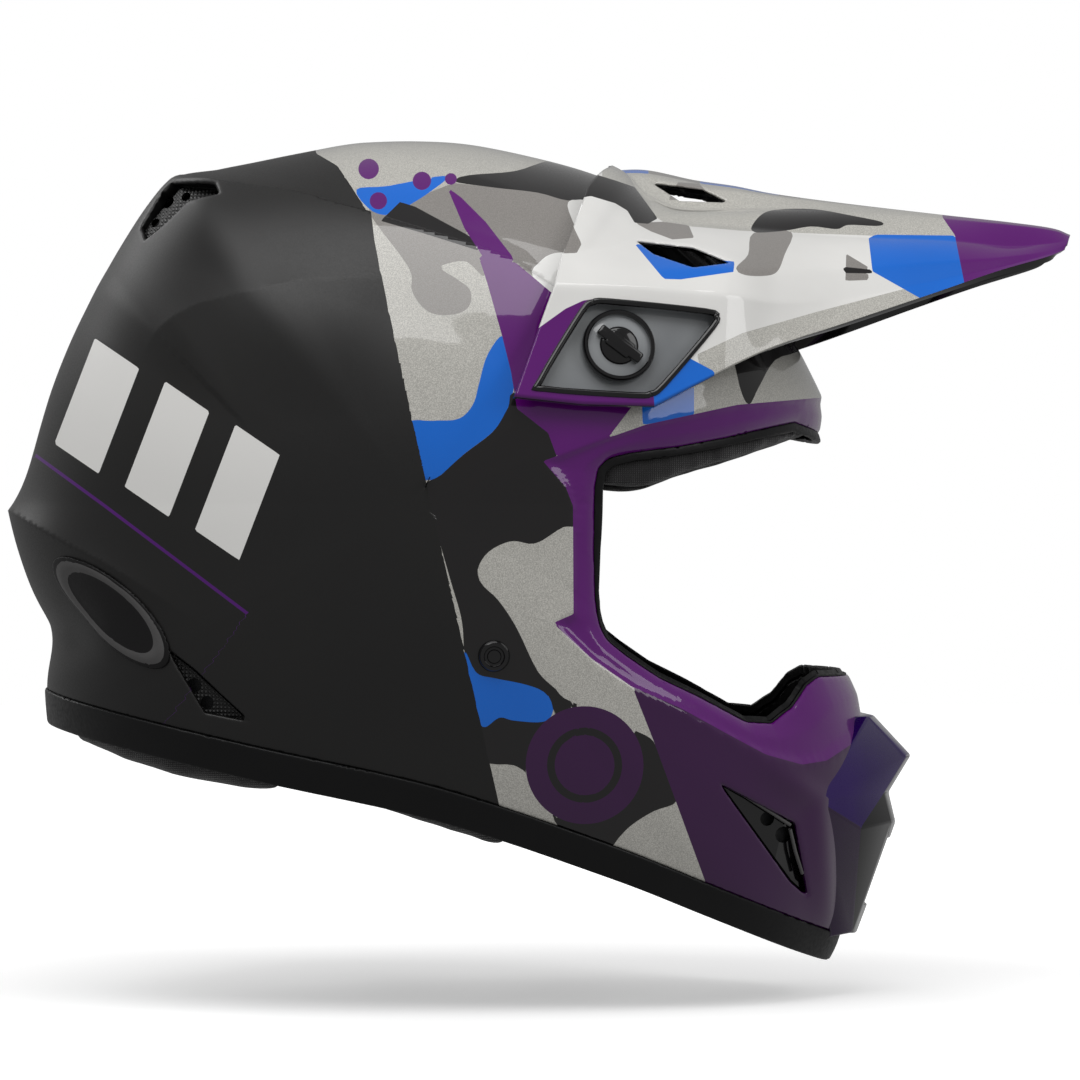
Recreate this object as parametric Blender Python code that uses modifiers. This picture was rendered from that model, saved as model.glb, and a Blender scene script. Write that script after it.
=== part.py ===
"""Motocross helmet: a moulded shell with chin bar, liner, chin strap and tilting peak, as separate solids.

The helmet stands as it is worn. +X is forwards, +Y is the wearer's left, +Z is up. The origin is the
middle of the head cavity at eye level. Working sizes are millimetres; `MM` turns them into Blender's
metres.
"""

import math

import bmesh
import bpy
import numpy as np
from mathutils import Matrix, Vector

MM = 0.001

# ---------------------------------------------------------------- driving sizes, mm
HALF_WIDTH = 124.0          # widest half of the shell, beside the ears
SHELL_THICKNESS = 4.0
SECTION_CENTRE = (-5.0, 20.0)  # the side view's point (x, z) that the shell's sections turn about
AROUND, ACROSS_STEPS = 48, 8   # the shell grid's directions, and its steps out to the middle plane
RIM_TRIM_HEIGHT = 10.0
TRIM_GRIP = 0.8             # how far rubber edging stands out from the shell
GASKET_WIDTH = 3.2
LINER_GAP = 0.6             # play between the shell and what lies inside it
PIVOT = (64.0, 74.5)        # side view's point (x, z) of the peak's hinge line
PEAK_THICKNESS = 2.6
PEAK_CLEARANCE = 5.5        # least distance from the shell's face to the peak's outer face
POD_FLOOR = 121.5           # half width of the pods' floor at POD_CORNER
POD_CORNER = (35.0, 60.0)
POD_SLOPE = (0.2, 0.25)     # how the floor closes in, forwards and upwards
POD_DEPTH = 4.5             # from the arm's face down to the floor
POD_PLATE = 1.6
SCREW_HEAD_RADIUS = 13.0
SCREW_RADIUS = 3.0
HEAD_CENTRE = (-2.0, 0.0, 12.0)
FOAM_CAVITY = (103.0, 90.0, 105.0)   # half sizes of the ellipsoid hollow in the crown foam
PAD_CAVITY = (95.0, 82.0, 96.0)      # the same inside the comfort liner
STRAP_X = 21.0              # the strap's anchor rivets, forwards of the origin
STRAP_RIVET_Z = -33.0
STRAP_WIDTH = 24.0
STRAP_THICKNESS = 2.2
STRAP_LEAN = 0.45           # how far the strap runs forwards for each millimetre down
STRAP_LEVEL = -90.0         # height below which it runs straight across
RING_REACH = 13.0           # from the middle plane to each bar of a ring
RING_WIRE = 1.5
RING_HEIGHTS = {"d_ring_upper": -92.3, "d_ring_lower": -97.3}
CHEEK_INSET = 12.0          # the cheek foam's outer face under the shell's outer face
CHEEK_FOAM_IN = 78.0        # half width of the cheek foam's inner face
CHEEK_COVER_IN = 62.0
GAP = 0.35                  # between parts that touch
BEYOND = 400.0              # longer than anything is wide
FACETS = 18                 # sides of a turned piece

# The shell's outline on its middle plane, anticlockwise from the front. Below the rim and across the eye
# port it is only the form that the walls are cut from.
OUTLINE = [
    (152, 0), (149, 30), (142.5, 54), (137, 68), (128, 84), (115, 99), (101, 110.5), (90, 118.5), (80, 125.5),
    (71.5, 132), (66, 137.6), (58, 141.6), (40, 147), (13, 152.8), (-8.5, 154.3), (-30, 153.6), (-46, 151.7),
    (-67, 148.3), (-88, 144.6), (-99, 140), (-107, 131), (-116, 117), (-128, 96), (-137, 77), (-144, 57),
    (-148, 36), (-149, 10), (-147, -15), (-145, -35), (-144, -50), (-142, -66), (-137, -84), (-120, -110),
    (-85, -136), (-40, -153), (5, -163), (60, -171), (105, -170), (133, -158), (146, -137), (153, -115),
    (157, -92), (158, -70), (156, -50), (154, -30), (152.5, -12),
]
# How square each section is, by its direction in the side view (degrees): 2 is an ellipse, more is boxier.
SQUARENESS = [(-180, 2.45), (-150, 2.6), (-110, 2.6), (-80, 2.4), (-55, 2.05), (-30, 1.95), (0, 2.1),
              (22, 2.5),
              (40, 2.6), (58, 2.45), (80, 2.25), (120, 2.3), (150, 2.4), (180, 2.45)]
# The rim: the shell's lower edge, from the back to the chin.
RIM = [(-190, -37), (-144, -47), (-66, -64.5), (1.5, -79.5), (60, -99.5), (97, -115), (151, -139),
       (190, -156)]
# The eye port: the brow's lower edge, the side pillar and the top of the chin bar.
EYE_PORT = [(200, 36), (133, 50.5), (106, 43.5), (89, 40), (71, 37.5), (62.5, 35.5), (59, 32), (57.8, 25),
            (57.5, 4),
            (58, -14), (59.5, -22), (62, -27.5), (69, -33), (81, -41), (96, -48), (113.5, -57.2),
            (123, -57.8),
            (131, -52.5), (137, -44.5), (142, -41.5), (200, -41.5)]
CHIN_VENT = [(101, -79), (128.5, -94), (133.5, -121), (127, -115)]
REAR_VENT = [(-93.5, -31), (-80.5, -53), (-64.5, -56), (-84, -38)]
TOP_VENT = [(-99, 137.5), (-79, 133), (-77, 129), (-88.5, 127.5), (-97, 121), (-105, 115.5), (-107.5, 121)]
BADGE_CENTRE = (-112.0, -18.0)
POD = [(35.5, 60), (53, 89.5), (58, 91), (98, 87.2), (99.3, 84), (78, 59), (73, 57.5)]

# The peak's crease lines from back to front, as (x, y, z). y 0 is the middle plane and y is given as a
# positive half width; None takes the shell's half width there with the arm's clearance.
PEAK_LINES = [
    [(61.4, 0, 143.9), (76, 0, 144.3), (94, 0, 140.6), (109, 0, 138.4), (124, 0, 135.4), (150, 0, 131.8),
     (185, 0, 127.6), (210, 0, 124.9), (226, 0, 122.8), (233, 0, 120.4)],
    [(62.5, 9, 143), (76, 17, 140.6), (94, 20, 136.6), (109, 19, 135), (124, 16.5, 133.3), (150, 14, 130.6),
     (185, 11, 127), (210, 9, 124.4), (226, 6.5, 122.3), (232.8, 4, 120)],
    [(60, 30, 138), (76, 31, 133), (88, 31, 128.3), (104, 29, 127.9), (122, 27, 128.2), (150, 24, 127.6),
     (185, 18, 125.2), (210, 14, 123.2), (225.5, 10, 121.4), (232.3, 7.5, 119.3)],
    [(52, 66, 130), (69, 63, 124), (82, 60, 121.8), (98, 55, 121), (118, 50, 119.4), (150, 41, 117.4),
     (185, 29.5, 116.6), (208, 21.5, 114.9), (224.5, 15.5, 116.3), (231.5, 11, 117.7)],
    [(44, None, 105), (59, None, 102.5), (73, None, 102.4), (103, None, 103), (122, 80, 103.5),
     (148, 63, 104.4),
     (182, 44, 108), (205, 32, 110.2), (223, 20.5, 113.2), (230.6, 13.5, 116)],
    [(42, None, 96.5), (58, None, 96.5), (72, None, 96), (103, None, 93.5), (122, 90, 91.5), (147, 70, 94),
     (180, 49, 101), (204, 34.5, 106.6), (222.5, 22.3, 111.7), (230, 14.6, 114.8)],
    [(28, None, 57), (52, None, 54.5), (77, None, 54), (101, None, 66.5), (120, 98, 75.5), (144, 79, 84),
     (178, 54, 96), (203, 37, 105), (222, 24, 110.8), (229.6, 15.5, 113.9)],
]
SHOULDER_DROP = 6.0         # the arms' upper crease stands this much further in than their face
SCOOP = [(77, 117), (84, 105), (105, 107), (104.5, 112)]
BRIDGE_WINDOW = [(78, 138.5), (88, 131.5), (106, 131), (96, 136.5)]

# Side outlines of what fills the shell.
CROWN_FOAM = [(200, 170), (200, 57), (133, 54.5), (106, 47.5), (89, 44), (71, 41.5), (60, 39), (52, 33),
              (50.5, 25),
              (50, -9), (-44, -9), (-52, -58.5), (-144, -42.5), (-190, -33), (-190, 170)]
CROWN_PAD = [(200, 170), (200, 64), (96, 50), (66, 44), (49, 30), (47, -4), (-47, -4), (-55, -36),
             (-190, -20),
             (-190, 170)]
BROW_PAD = [(140, 50.5), (106, 44), (89, 40.5), (71, 38), (62.5, 36), (59, 33), (57, 27), (62, 26), (70, 25),
            (77, 26.5), (90, 31.5), (108, 36.5), (129.5, 44), (140, 48)]
CHIN_FOAM = [(92, -60), (113.5, -61), (123, -61.5), (133, -56), (139, -48.5), (143, -45.5), (200, -45.5),
             (200, -152), (151, -136.5), (97, -112.5), (84, -108)]
CHEEK = [(47, -12), (-41, -12), (-48, -56), (-46, -78), (-20, -88), (26, -104), (28, -80), (66, -80),
         (70, -112),
         (81, -106), (88, -58), (70, -39), (60, -31)]
NECK_ROLL = [(-55, -59.5), (-54, -83), (-90, -77), (-144, -61), (-190, -50), (-190, -33.6), (-144, -43.3)]
MASK_SIDE = [(140, -54), (154, -46.5), (160, -55), (173, -73), (164.7, -86.6), (167.6, -97), (156, -127),
             (140, -126)]
MASK_PLAN = [(100, -50), (135, -50), (158, -36), (176, -11), (176, 11), (158, 36), (135, 50), (100, 50)]
MOUTH = ((120, -22, -117), (200, 22, -88))



# ---------------------------------------------------------------- plain helpers
def clear_scene():
    """Empties the startup scene."""
    for obj in list(bpy.data.objects):
        bpy.data.objects.remove(obj)


def collection(name, shown=True):
    """A collection of the scene; a hidden one holds cutters."""
    made = bpy.data.collections.new(name)
    bpy.context.scene.collection.children.link(made)
    made.hide_render = not shown
    return made


def material(name, colour, roughness, metallic=0.0):
    """A plain Principled material."""
    made = bpy.data.materials.new(name)
    made.use_nodes = True
    shader = made.node_tree.nodes["Principled BSDF"]
    shader.inputs["Base Color"].default_value = (*colour, 1.0)
    shader.inputs["Roughness"].default_value = roughness
    shader.inputs["Metallic"].default_value = metallic
    return made


def link(obj, group, finish=None):
    """Puts an object into a collection with its material."""
    group.objects.link(obj)
    if finish is not None:
        obj.data.materials.append(finish)
    return obj


def mesh_object(name, points_mm, faces, group, finish=None):
    """A mesh object from points in millimetres."""
    mesh = bpy.data.meshes.new(name)
    mesh.from_pydata([tuple(MM * c for c in p) for p in points_mm], [], faces)
    mesh.validate()
    return link(bpy.data.objects.new(name, mesh), group, finish)


def outward(obj):
    """Turns every face outwards and joins points that coincide."""
    work = bmesh.new()
    work.from_mesh(obj.data)
    bmesh.ops.remove_doubles(work, verts=work.verts, dist=0.00001)
    bmesh.ops.recalc_face_normals(work, faces=work.faces)
    work.to_mesh(obj.data)
    work.free()
    return obj


def apply_modifiers(obj):
    """Replaces the mesh by what its modifiers make."""
    bpy.context.view_layer.update()
    graph = bpy.context.evaluated_depsgraph_get()
    made = bpy.data.meshes.new_from_object(obj.evaluated_get(graph))
    obj.modifiers.clear()
    obj.data = made
    return obj


def boolean(obj, other, operation):
    """Cuts or joins, and applies the result."""
    step = obj.modifiers.new(operation.lower(), "BOOLEAN")
    step.operation = operation
    step.object = other
    step.solver = "EXACT"
    return apply_modifiers(obj)


def cut(obj, *cutters):
    """Takes each cutter's volume out of the object."""
    for cutter in cutters:
        boolean(obj, cutter, "DIFFERENCE")
    return obj


def keep_inside(obj, *volumes):
    """Keeps only what lies inside every volume."""
    for volume in volumes:
        boolean(obj, volume, "INTERSECT")
    return obj


def bevel(obj, width, segments=2, degrees=40):
    """Rounds the object's edges."""
    step = obj.modifiers.new("bevel", "BEVEL")
    step.width = width * MM
    step.segments = segments
    step.limit_method = "ANGLE"
    step.angle_limit = math.radians(degrees)
    return obj


def smooth_line(points, per_span=6, closed=False):
    """Points along a smooth curve through the given ones."""
    pts = np.array(points, float)
    if closed:
        pts = np.vstack([pts[-1], pts, pts[:2]])
    else:
        pts = np.vstack([2 * pts[0] - pts[1], pts, 2 * pts[-1] - pts[-2]])
    found = []
    for before, start, end, after in zip(pts[:-3], pts[1:-2], pts[2:-1], pts[3:]):
        for t in np.arange(per_span) / per_span:
            found.append(0.5 * (2 * start + (end - before) * t
                                + (2 * before - 5 * start + 4 * end - after) * t ** 2
                                + (3 * start - before - 3 * end + after) * t ** 3))
    if not closed:
        found.append(pts[-2])
    return np.array(found)


# ---------------------------------------------------------------- the shell's form
def outline_radii():
    """The outline as sorted angles and radii about the sections' centre."""
    line = smooth_line(OUTLINE, 8, closed=True) - SECTION_CENTRE
    angles = np.arctan2(line[:, 1], line[:, 0])
    order = np.argsort(angles)
    return angles[order], np.hypot(line[:, 0], line[:, 1])[order]


ANGLES, RADII = outline_radii()
SQUARE_AT = np.array(SQUARENESS, float)


def radius_at(angle):
    """The outline's distance from the sections' centre in a direction of the side view."""
    return np.interp(angle, ANGLES, RADII, period=2 * math.pi)


def squareness_at(angle):
    """The exponent of the section in that direction."""
    return np.interp(np.degrees(angle), SQUARE_AT[:, 0], SQUARE_AT[:, 1])


def half_width_at(x, z):
    """Half of the shell's width at a point of the side view."""
    dx, dz = x - SECTION_CENTRE[0], z - SECTION_CENTRE[1]
    angle = np.arctan2(dz, dx)
    share = np.clip(np.hypot(dx, dz) / radius_at(angle), 0, 1)
    power = squareness_at(angle)
    return HALF_WIDTH * (1 - share ** power) ** (1 / power)


def shell_grid(around, across, offset=0.0):
    """Points of the right half (y below 0): [direction, step from the side to the middle plane]."""
    angle = np.linspace(-math.pi, math.pi, around, endpoint=False)[:, None]
    turn = np.linspace(0, math.pi / 2, across + 1)[None, :]
    power = squareness_at(angle)
    share = np.sin(turn) ** (2 / power)
    radius = radius_at(angle)
    x = SECTION_CENTRE[0] + radius * share * np.cos(angle)
    z = SECTION_CENTRE[1] + radius * share * np.sin(angle)
    y = -HALF_WIDTH * np.clip(np.cos(turn), 0, 1) ** (2 / power)
    grid = np.stack([x, y * np.ones_like(x), z], axis=2)
    if offset == 0:
        return grid
    along = np.roll(grid, -1, axis=0) - np.roll(grid, 1, axis=0)
    outwards = np.gradient(grid, axis=1)
    normal = np.cross(along, outwards)
    normal[:, 0] = (0, -1, 0)
    normal[:, -1, 1] = 0
    normal /= np.linalg.norm(normal, axis=2, keepdims=True)
    flip = np.sign((normal * (grid - (SECTION_CENTRE[0], 0, SECTION_CENTRE[1]))).sum(axis=2, keepdims=True))
    moved = grid + offset * normal * flip
    moved[:, -1, 1] = 0
    return moved


def grid_surface(name, grid, group, finish=None):
    """The right half's grid and its mirror image as one closed surface."""
    around, across = grid.shape[:2]
    points = [tuple(grid[0, 0])] + [tuple(p) for row in grid[:, 1:] for p in row]

    def index(i, j):
        return 0 if j == 0 else 1 + (i % around) * (across - 1) + j - 1

    faces = [(0, index(i + 1, 1), index(i, 1)) for i in range(around)]
    faces += [(index(i, j), index(i + 1, j), index(i + 1, j + 1), index(i, j + 1))
              for i in range(around) for j in range(1, across - 1)]
    obj = mesh_object(name, points, faces, group, finish)
    mirror = obj.modifiers.new("mirror", "MIRROR")
    mirror.use_axis = (False, True, False)
    mirror.merge_threshold = 0.0001
    return outward(apply_modifiers(obj))


def inner_volume(name, inset, group, around=AROUND, across=ACROSS_STEPS, finish=None):
    """A closed solid of everything that lies deeper than `inset` under the shell's outer face."""
    return grid_surface(name, shell_grid(around, across, -inset), group, finish)


# ---------------------------------------------------------------- solids from outlines
def prism(name, outline, facing, low, high, group, finish=None):
    """An outline pulled along an axis.

    "side" is (x, z) along y, "front" is (y, z) along x and "plan" is (x, y) along z.
    """
    curve = bpy.data.curves.new(name, "CURVE")
    curve.dimensions = "2D"
    curve.fill_mode = "BOTH"
    curve.extrude = (high - low) / 2 * MM
    line = curve.splines.new("POLY")
    line.points.add(len(outline) - 1)
    for point, (across, up) in zip(line.points, outline):
        point.co = (across * MM, up * MM, 0, 1)
    line.use_cyclic_u = True
    flat = bpy.data.objects.new(name, curve)
    middle = (low + high) / 2 * MM
    turns = {
        "side": Matrix.Translation((0, middle, 0)) @ Matrix.Rotation(math.pi / 2, 4, "X"),
        "front": Matrix.Translation((middle, 0, 0)) @ Matrix.Rotation(math.pi / 2, 4, "Z")
        @ Matrix.Rotation(math.pi / 2, 4, "X"),
        "plan": Matrix.Translation((0, 0, middle)),
    }
    flat.matrix_world = turns[facing]
    return solid_from_curve(flat, group, finish)


def side_prism(name, outline, group, low=-BEYOND / 2, high=BEYOND / 2, finish=None):
    """An outline of the side view, given as (x, z), pulled across from y low to y high."""
    return prism(name, outline, "side", low, high, group, finish)


def grown(outline, amount):
    """The outline moved outwards by `amount`, or inwards if it is negative."""
    pts = np.array(outline, float)
    ahead = np.roll(pts, -1, axis=0) - pts
    ahead /= np.linalg.norm(ahead, axis=1, keepdims=True)
    behind = np.roll(ahead, 1, axis=0)
    area = (pts[:, 0] * np.roll(pts[:, 1], -1) - pts[:, 1] * np.roll(pts[:, 0], -1)).sum()
    turn = np.sign(area)
    normals = turn * np.stack([ahead[:, 1] + behind[:, 1], -ahead[:, 0] - behind[:, 0]], axis=1)
    normals /= np.linalg.norm(normals, axis=1, keepdims=True)
    facing = turn * np.stack([ahead[:, 1], -ahead[:, 0]], axis=1)
    stretch = np.clip((normals * facing).sum(axis=1, keepdims=True), 0.4, 1)
    return [tuple(p) for p in pts + normals * amount / stretch]


def oval(centre, halves, tilt_degrees, sides=28):
    """An ellipse in the side view."""
    tilt = math.radians(tilt_degrees)
    found = []
    for turn in np.arange(sides) * 2 * math.pi / sides:
        along, up = halves[0] * math.cos(turn), halves[1] * math.sin(turn)
        found.append((centre[0] + along * math.cos(tilt) - up * math.sin(tilt),
                      centre[1] + along * math.sin(tilt) + up * math.cos(tilt)))
    return found


def solid_from_curve(curve_object, group, finish=None):
    """A curve as a welded mesh in world space."""
    bpy.context.scene.collection.objects.link(curve_object)
    bpy.context.view_layer.update()
    graph = bpy.context.evaluated_depsgraph_get()
    mesh = bpy.data.meshes.new_from_object(curve_object.evaluated_get(graph))
    mesh.transform(curve_object.matrix_world)
    name = curve_object.name
    bpy.data.objects.remove(curve_object)
    obj = bpy.data.objects.new(name, mesh)
    mesh.materials.clear()
    return outward(link(obj, group, finish))


def turned(name, profile, centre, axis, group, finish=None, facets=FACETS):
    """A profile of (radius, height), outer side top to bottom, turned about `axis` through `centre`."""
    mesh = bpy.data.meshes.new(name)
    mesh.from_pydata([(r * MM, 0, h * MM) for r, h in profile],
                     [(i, i + 1) for i in range(len(profile) - 1)], [])
    obj = link(bpy.data.objects.new(name, mesh), group, None)
    screw = obj.modifiers.new("turn", "SCREW")
    screw.steps = screw.render_steps = facets
    screw.use_merge_vertices = True
    screw.merge_threshold = 0.00001
    apply_modifiers(obj)
    obj.data.transform(Vector(axis).to_track_quat("Z", "Y").to_matrix().to_4x4())
    obj.data.transform(Matrix.Translation(Vector(centre) * MM))
    if finish is not None:
        obj.data.materials.append(finish)
    return outward(obj)


def rod(name, start, end, radius, group, finish=None, facets=FACETS):
    """A plain cylinder between two points."""
    start, end = Vector(start), Vector(end)
    length = (end - start).length
    return turned(name, [(0, length), (radius, length), (radius, 0), (0, 0)], start, end - start, group,
                  finish, facets)


def box(name, low, high, group, finish=None):
    """A block between two corners."""
    work = bmesh.new()
    bmesh.ops.create_cube(work, size=1.0)
    size = Vector(high) - Vector(low)
    middle = (Vector(high) + Vector(low)) / 2
    bmesh.ops.transform(work, matrix=Matrix.Diagonal((*(size * MM), 1)), verts=work.verts)
    bmesh.ops.translate(work, vec=middle * MM, verts=work.verts)
    mesh = bpy.data.meshes.new(name)
    work.to_mesh(mesh)
    work.free()
    return link(bpy.data.objects.new(name, mesh), group, finish)


def head_hollow(name, halves, bottom, group, finish=None, around=28, rings=14):
    """Half an ellipsoid about the head's centre, carried straight down from its widest ring to `bottom`."""
    work = bmesh.new()
    bmesh.ops.create_uvsphere(work, u_segments=around, v_segments=rings, radius=1)
    depth = (HEAD_CENTRE[2] - bottom) / halves[2]
    for vertex in work.verts:
        reach = math.hypot(vertex.co.x, vertex.co.y)
        if vertex.co.z < -0.01:
            vertex.co.z *= depth
            if reach > 0.01:
                vertex.co.x /= reach
                vertex.co.y /= reach
    bmesh.ops.transform(work, matrix=Matrix.Diagonal((*[half * MM for half in halves], 1)), verts=work.verts)
    bmesh.ops.translate(work, vec=Vector(HEAD_CENTRE) * MM, verts=work.verts)
    mesh = bpy.data.meshes.new(name)
    work.to_mesh(mesh)
    work.free()
    return link(bpy.data.objects.new(name, mesh), group, finish)


def strip(name, path, thickness, low, high, group, finish=None):
    """Webbing that follows a path of (y, z) points and spans x low to x high."""
    line = np.array(path, float)
    step = np.gradient(line, axis=0)
    step /= np.linalg.norm(step, axis=1, keepdims=True)
    side = np.stack([-step[:, 1], step[:, 0]], axis=1) * thickness / 2
    outline = [tuple(p) for p in line + side] + [tuple(p) for p in (line - side)[::-1]]
    return prism(name, outline, "front", low, high, group, finish)


def mirrored(obj, name, group):
    """The left-hand twin of a right-hand piece."""
    twin = obj.copy()
    twin.data = obj.data.copy()
    twin.name = name
    twin.data.transform(Matrix.Diagonal((1, -1, 1, 1)))
    group.objects.link(twin)
    twin.data.flip_normals()
    return twin


def surface_normal(x, z):
    """The outward normal of the shell's right side at a point of the side view."""
    step = 1.0
    slope_x = (half_width_at(x + step, z) - half_width_at(x - step, z)) / (2 * step)
    slope_z = (half_width_at(x, z + step) - half_width_at(x, z - step)) / (2 * step)
    return Vector((-slope_x, -1, -slope_z)).normalized()


def on_shell(x, z, out=0.0):
    """A point of the shell's right side, `out` millimetres off its face."""
    return Vector((x, -half_width_at(x, z), z)) + out * surface_normal(x, z)


# ---------------------------------------------------------------- shell and its trims
def skin(name, outer_inset, inner_inset, group, finish=None, around=AROUND, across=ACROSS_STEPS):
    """The layer between two depths under the shell's outer face. A negative depth is over it."""
    layer = inner_volume(name, outer_inset, group, around, across, finish)
    return cut(layer, inner_volume(name + "_hollow", inner_inset, CUTTERS, around, across))


def above_rim(name, lift, group):
    """A block of everything over the rim's line raised by `lift`."""
    line = [(x, z + lift) for x, z in smooth_line(RIM, 3)]
    return side_prism(name, line + [(190, 200), (-190, 200)], group)


def two_sides(name, outline, group, low=40, high=160):
    """An opening of the side view, as one cutter for each side."""
    return [side_prism(name + "_right", outline, group, -high, -low),
            side_prism(name + "_left", outline, group, low, high)]


def pod_axis():
    """The right screw's direction, square to the pod's floor and outwards."""
    return Vector((POD_SLOPE[0], -1, POD_SLOPE[1])).normalized()


def pod_half_width(x, z):
    """Half width of the pods' floor at a point of the side view."""
    return POD_FLOOR - POD_SLOPE[0] * (x - POD_CORNER[0]) - POD_SLOPE[1] * (z - POD_CORNER[1])


def pivot_point(out=0.0):
    """The pivot on the right pod's floor, moved outwards along the screw."""
    return Vector((PIVOT[0], -pod_half_width(*PIVOT), PIVOT[1])) + out * pod_axis()


def rivet_rod(name, start, end, radius, group, finish=None):
    """A cylinder on the right strap rivet's axis, between two distances out from the shell's face."""
    return rod(name, on_shell(STRAP_X, STRAP_RIVET_Z, start), on_shell(STRAP_X, STRAP_RIVET_Z, end),
               radius, group,
               finish)


def both(obj, group):
    """A right-hand cutter and its left-hand twin."""
    return [obj, mirrored(obj, obj.name + "_left", group)]


def make_shell(group, finish):
    """The outer shell with its eye port, vents, mouth opening and screw holes."""
    shell = skin("outer_shell", 0, SHELL_THICKNESS, group, finish)
    openings = [side_prism("eye_port_cutter", EYE_PORT, CUTTERS)]
    openings += two_sides("chin_vent_cutter", CHIN_VENT, CUTTERS)
    openings += two_sides("rear_vent_cutter", REAR_VENT, CUTTERS)
    openings += two_sides("top_vent_cutter", TOP_VENT, CUTTERS)
    openings.append(box("mouth_cutter", (120, -21, -116), (200, 21, -89), CUTTERS))
    openings += both(rod("screw_hole", pivot_point(20), pivot_point(-30), SCREW_RADIUS + GAP, CUTTERS),
                     CUTTERS)
    openings += both(rivet_rod("rivet_hole", 10, -12, 2.6 + GAP, CUTTERS), CUTTERS)
    keep_inside(shell, above_rim("shell_rim", 0, CUTTERS))
    return cut(shell, *openings)


def make_rim_trim(group, finish):
    """The rubber edging along the shell's lower rim."""
    trim = skin("rim_trim", -TRIM_GRIP, SHELL_THICKNESS + 1.2, group, finish)
    line = [tuple(p) for p in smooth_line(RIM, 3)]
    band = [(x, z - GAP) for x, z in line] + [(x, z - RIM_TRIM_HEIGHT) for x, z in line[::-1]]
    return keep_inside(trim, side_prism("rim_trim_band", band, CUTTERS))


def make_gasket(group, finish):
    """The rubber edging round the eye port."""
    gasket = skin("eye_port_gasket", -TRIM_GRIP, SHELL_THICKNESS + 0.6, group, finish)
    keep_inside(gasket, side_prism("gasket_outline", grown(EYE_PORT, -GAP), CUTTERS))
    return cut(gasket, side_prism("gasket_hole", grown(EYE_PORT, -GASKET_WIDTH), CUTTERS))


def make_grille(name, outline, holes, group, finish):
    """A vent's insert, set into the shell's wall, with a row of holes given as (x, z, radius)."""
    insert = skin(name + "_R", 1.8, 3.6, group, finish)
    keep_inside(insert, side_prism(name + "_outline", grown(outline, -GAP), CUTTERS, -160, -40))
    cut(insert, *[rod(name + "_hole", (x, -160, z), (x, -40, z), radius, CUTTERS, facets=12)
                  for x, z, radius in holes])
    mirrored(insert, name + "_L", group)


def make_badge(group, finish):
    """The plain oval plate at the back of each side."""
    badge = skin("rear_badge_R", -1.5, -0.25, group, finish)
    keep_inside(badge, side_prism("badge_outline", oval(BADGE_CENTRE, (26, 10.4), -45), CUTTERS, -160, -20))
    mirrored(badge, "rear_badge_L", group)


# ---------------------------------------------------------------- liner
def make_crown_foam(group, finish):
    """The crushable foam that lines the crown, hollowed for the comfort liner."""
    foam = inner_volume("crown_foam", SHELL_THICKNESS + LINER_GAP, group, finish=finish)
    keep_inside(foam, side_prism("crown_foam_outline", CROWN_FOAM, CUTTERS))
    pockets = both(rod("nut_pocket", pivot_point(0), pivot_point(-19), 9, CUTTERS, facets=16), CUTTERS)
    return cut(foam, head_hollow("crown_hollow", FOAM_CAVITY, -200, CUTTERS), *pockets)


def make_crown_pad(group, finish):
    """The comfort liner: a padded bowl inside the crown foam."""
    bowl = head_hollow("crown_pad", [half - LINER_GAP for half in FOAM_CAVITY], -190, group, finish)
    keep_inside(bowl, side_prism("crown_pad_outline", CROWN_PAD, CUTTERS))
    return cut(bowl, head_hollow("pad_hollow", PAD_CAVITY, -200, CUTTERS))


def make_brow_pad(group, finish):
    """The padded strip under the brow."""
    pad = skin("brow_pad", SHELL_THICKNESS + 1.2, 16, group, finish)
    return keep_inside(pad, side_prism("brow_pad_outline", BROW_PAD, CUTTERS))


def make_chin_foam(group, finish):
    """The crushable foam inside the chin bar, with a hole behind the mouth vent."""
    foam = skin("chin_foam", SHELL_THICKNESS + LINER_GAP, 21, group, finish)
    keep_inside(foam, side_prism("chin_foam_outline", CHIN_FOAM, CUTTERS))
    return cut(foam, box("chin_foam_hole", (100, -31, -121), (200, 31, -84), CUTTERS))


def make_chin_filter(group, finish):
    """The foam air filter behind the mouth vent."""
    pad = skin("chin_filter", SHELL_THICKNESS + LINER_GAP, 12, group, finish)
    return keep_inside(pad, box("chin_filter_block", (110, -30.4, -120.4), (200, 30.4, -84.6), CUTTERS))


def make_cheeks(group, foam_finish, cover_finish):
    """Each cheek's foam block and the soft cover on its inner face."""
    foam = inner_volume("cheek_foam_R", CHEEK_INSET, group, finish=foam_finish)
    keep_inside(foam, side_prism("cheek_outline", CHEEK, CUTTERS, -140, -CHEEK_FOAM_IN))
    channel = strap_strip("strap_channel", STRAP_THICKNESS + 2.4, STRAP_WIDTH / 2 + 1.5, CUTTERS)
    cut(foam, rivet_rod("rivet_pocket", 0, -19, 15, CUTTERS), channel)
    mirrored(foam, "cheek_foam_L", group)
    inner = grown(CHEEK, -3)
    cover = side_prism("cheek_pad_R", inner, group, -CHEEK_FOAM_IN + GAP, -CHEEK_COVER_IN, cover_finish)
    apply_modifiers(bevel(cover, 4, 2, 60))
    outward(cover)
    mirrored(cover, "cheek_pad_L", group)


def make_neck_roll(group, finish):
    """The padded roll along the back of the rim."""
    roll = skin("neck_roll", SHELL_THICKNESS + 1.8, 27, group, finish)
    return keep_inside(roll, side_prism("neck_roll_outline", NECK_ROLL, CUTTERS))


def make_cheek_snaps(group, finish):
    """The press studs that hold the cheek foam to the shell."""
    for number, (x, z) in enumerate(((-30, -40), (68, -62)), 1):
        stud = rod(f"cheek_snap_{number}_R", on_shell(x, z, -SHELL_THICKNESS - 1.2),
                   on_shell(x, z, -CHEEK_INSET + 0.9),
                   6, group, finish)
        mirrored(stud, f"cheek_snap_{number}_L", group)


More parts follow.
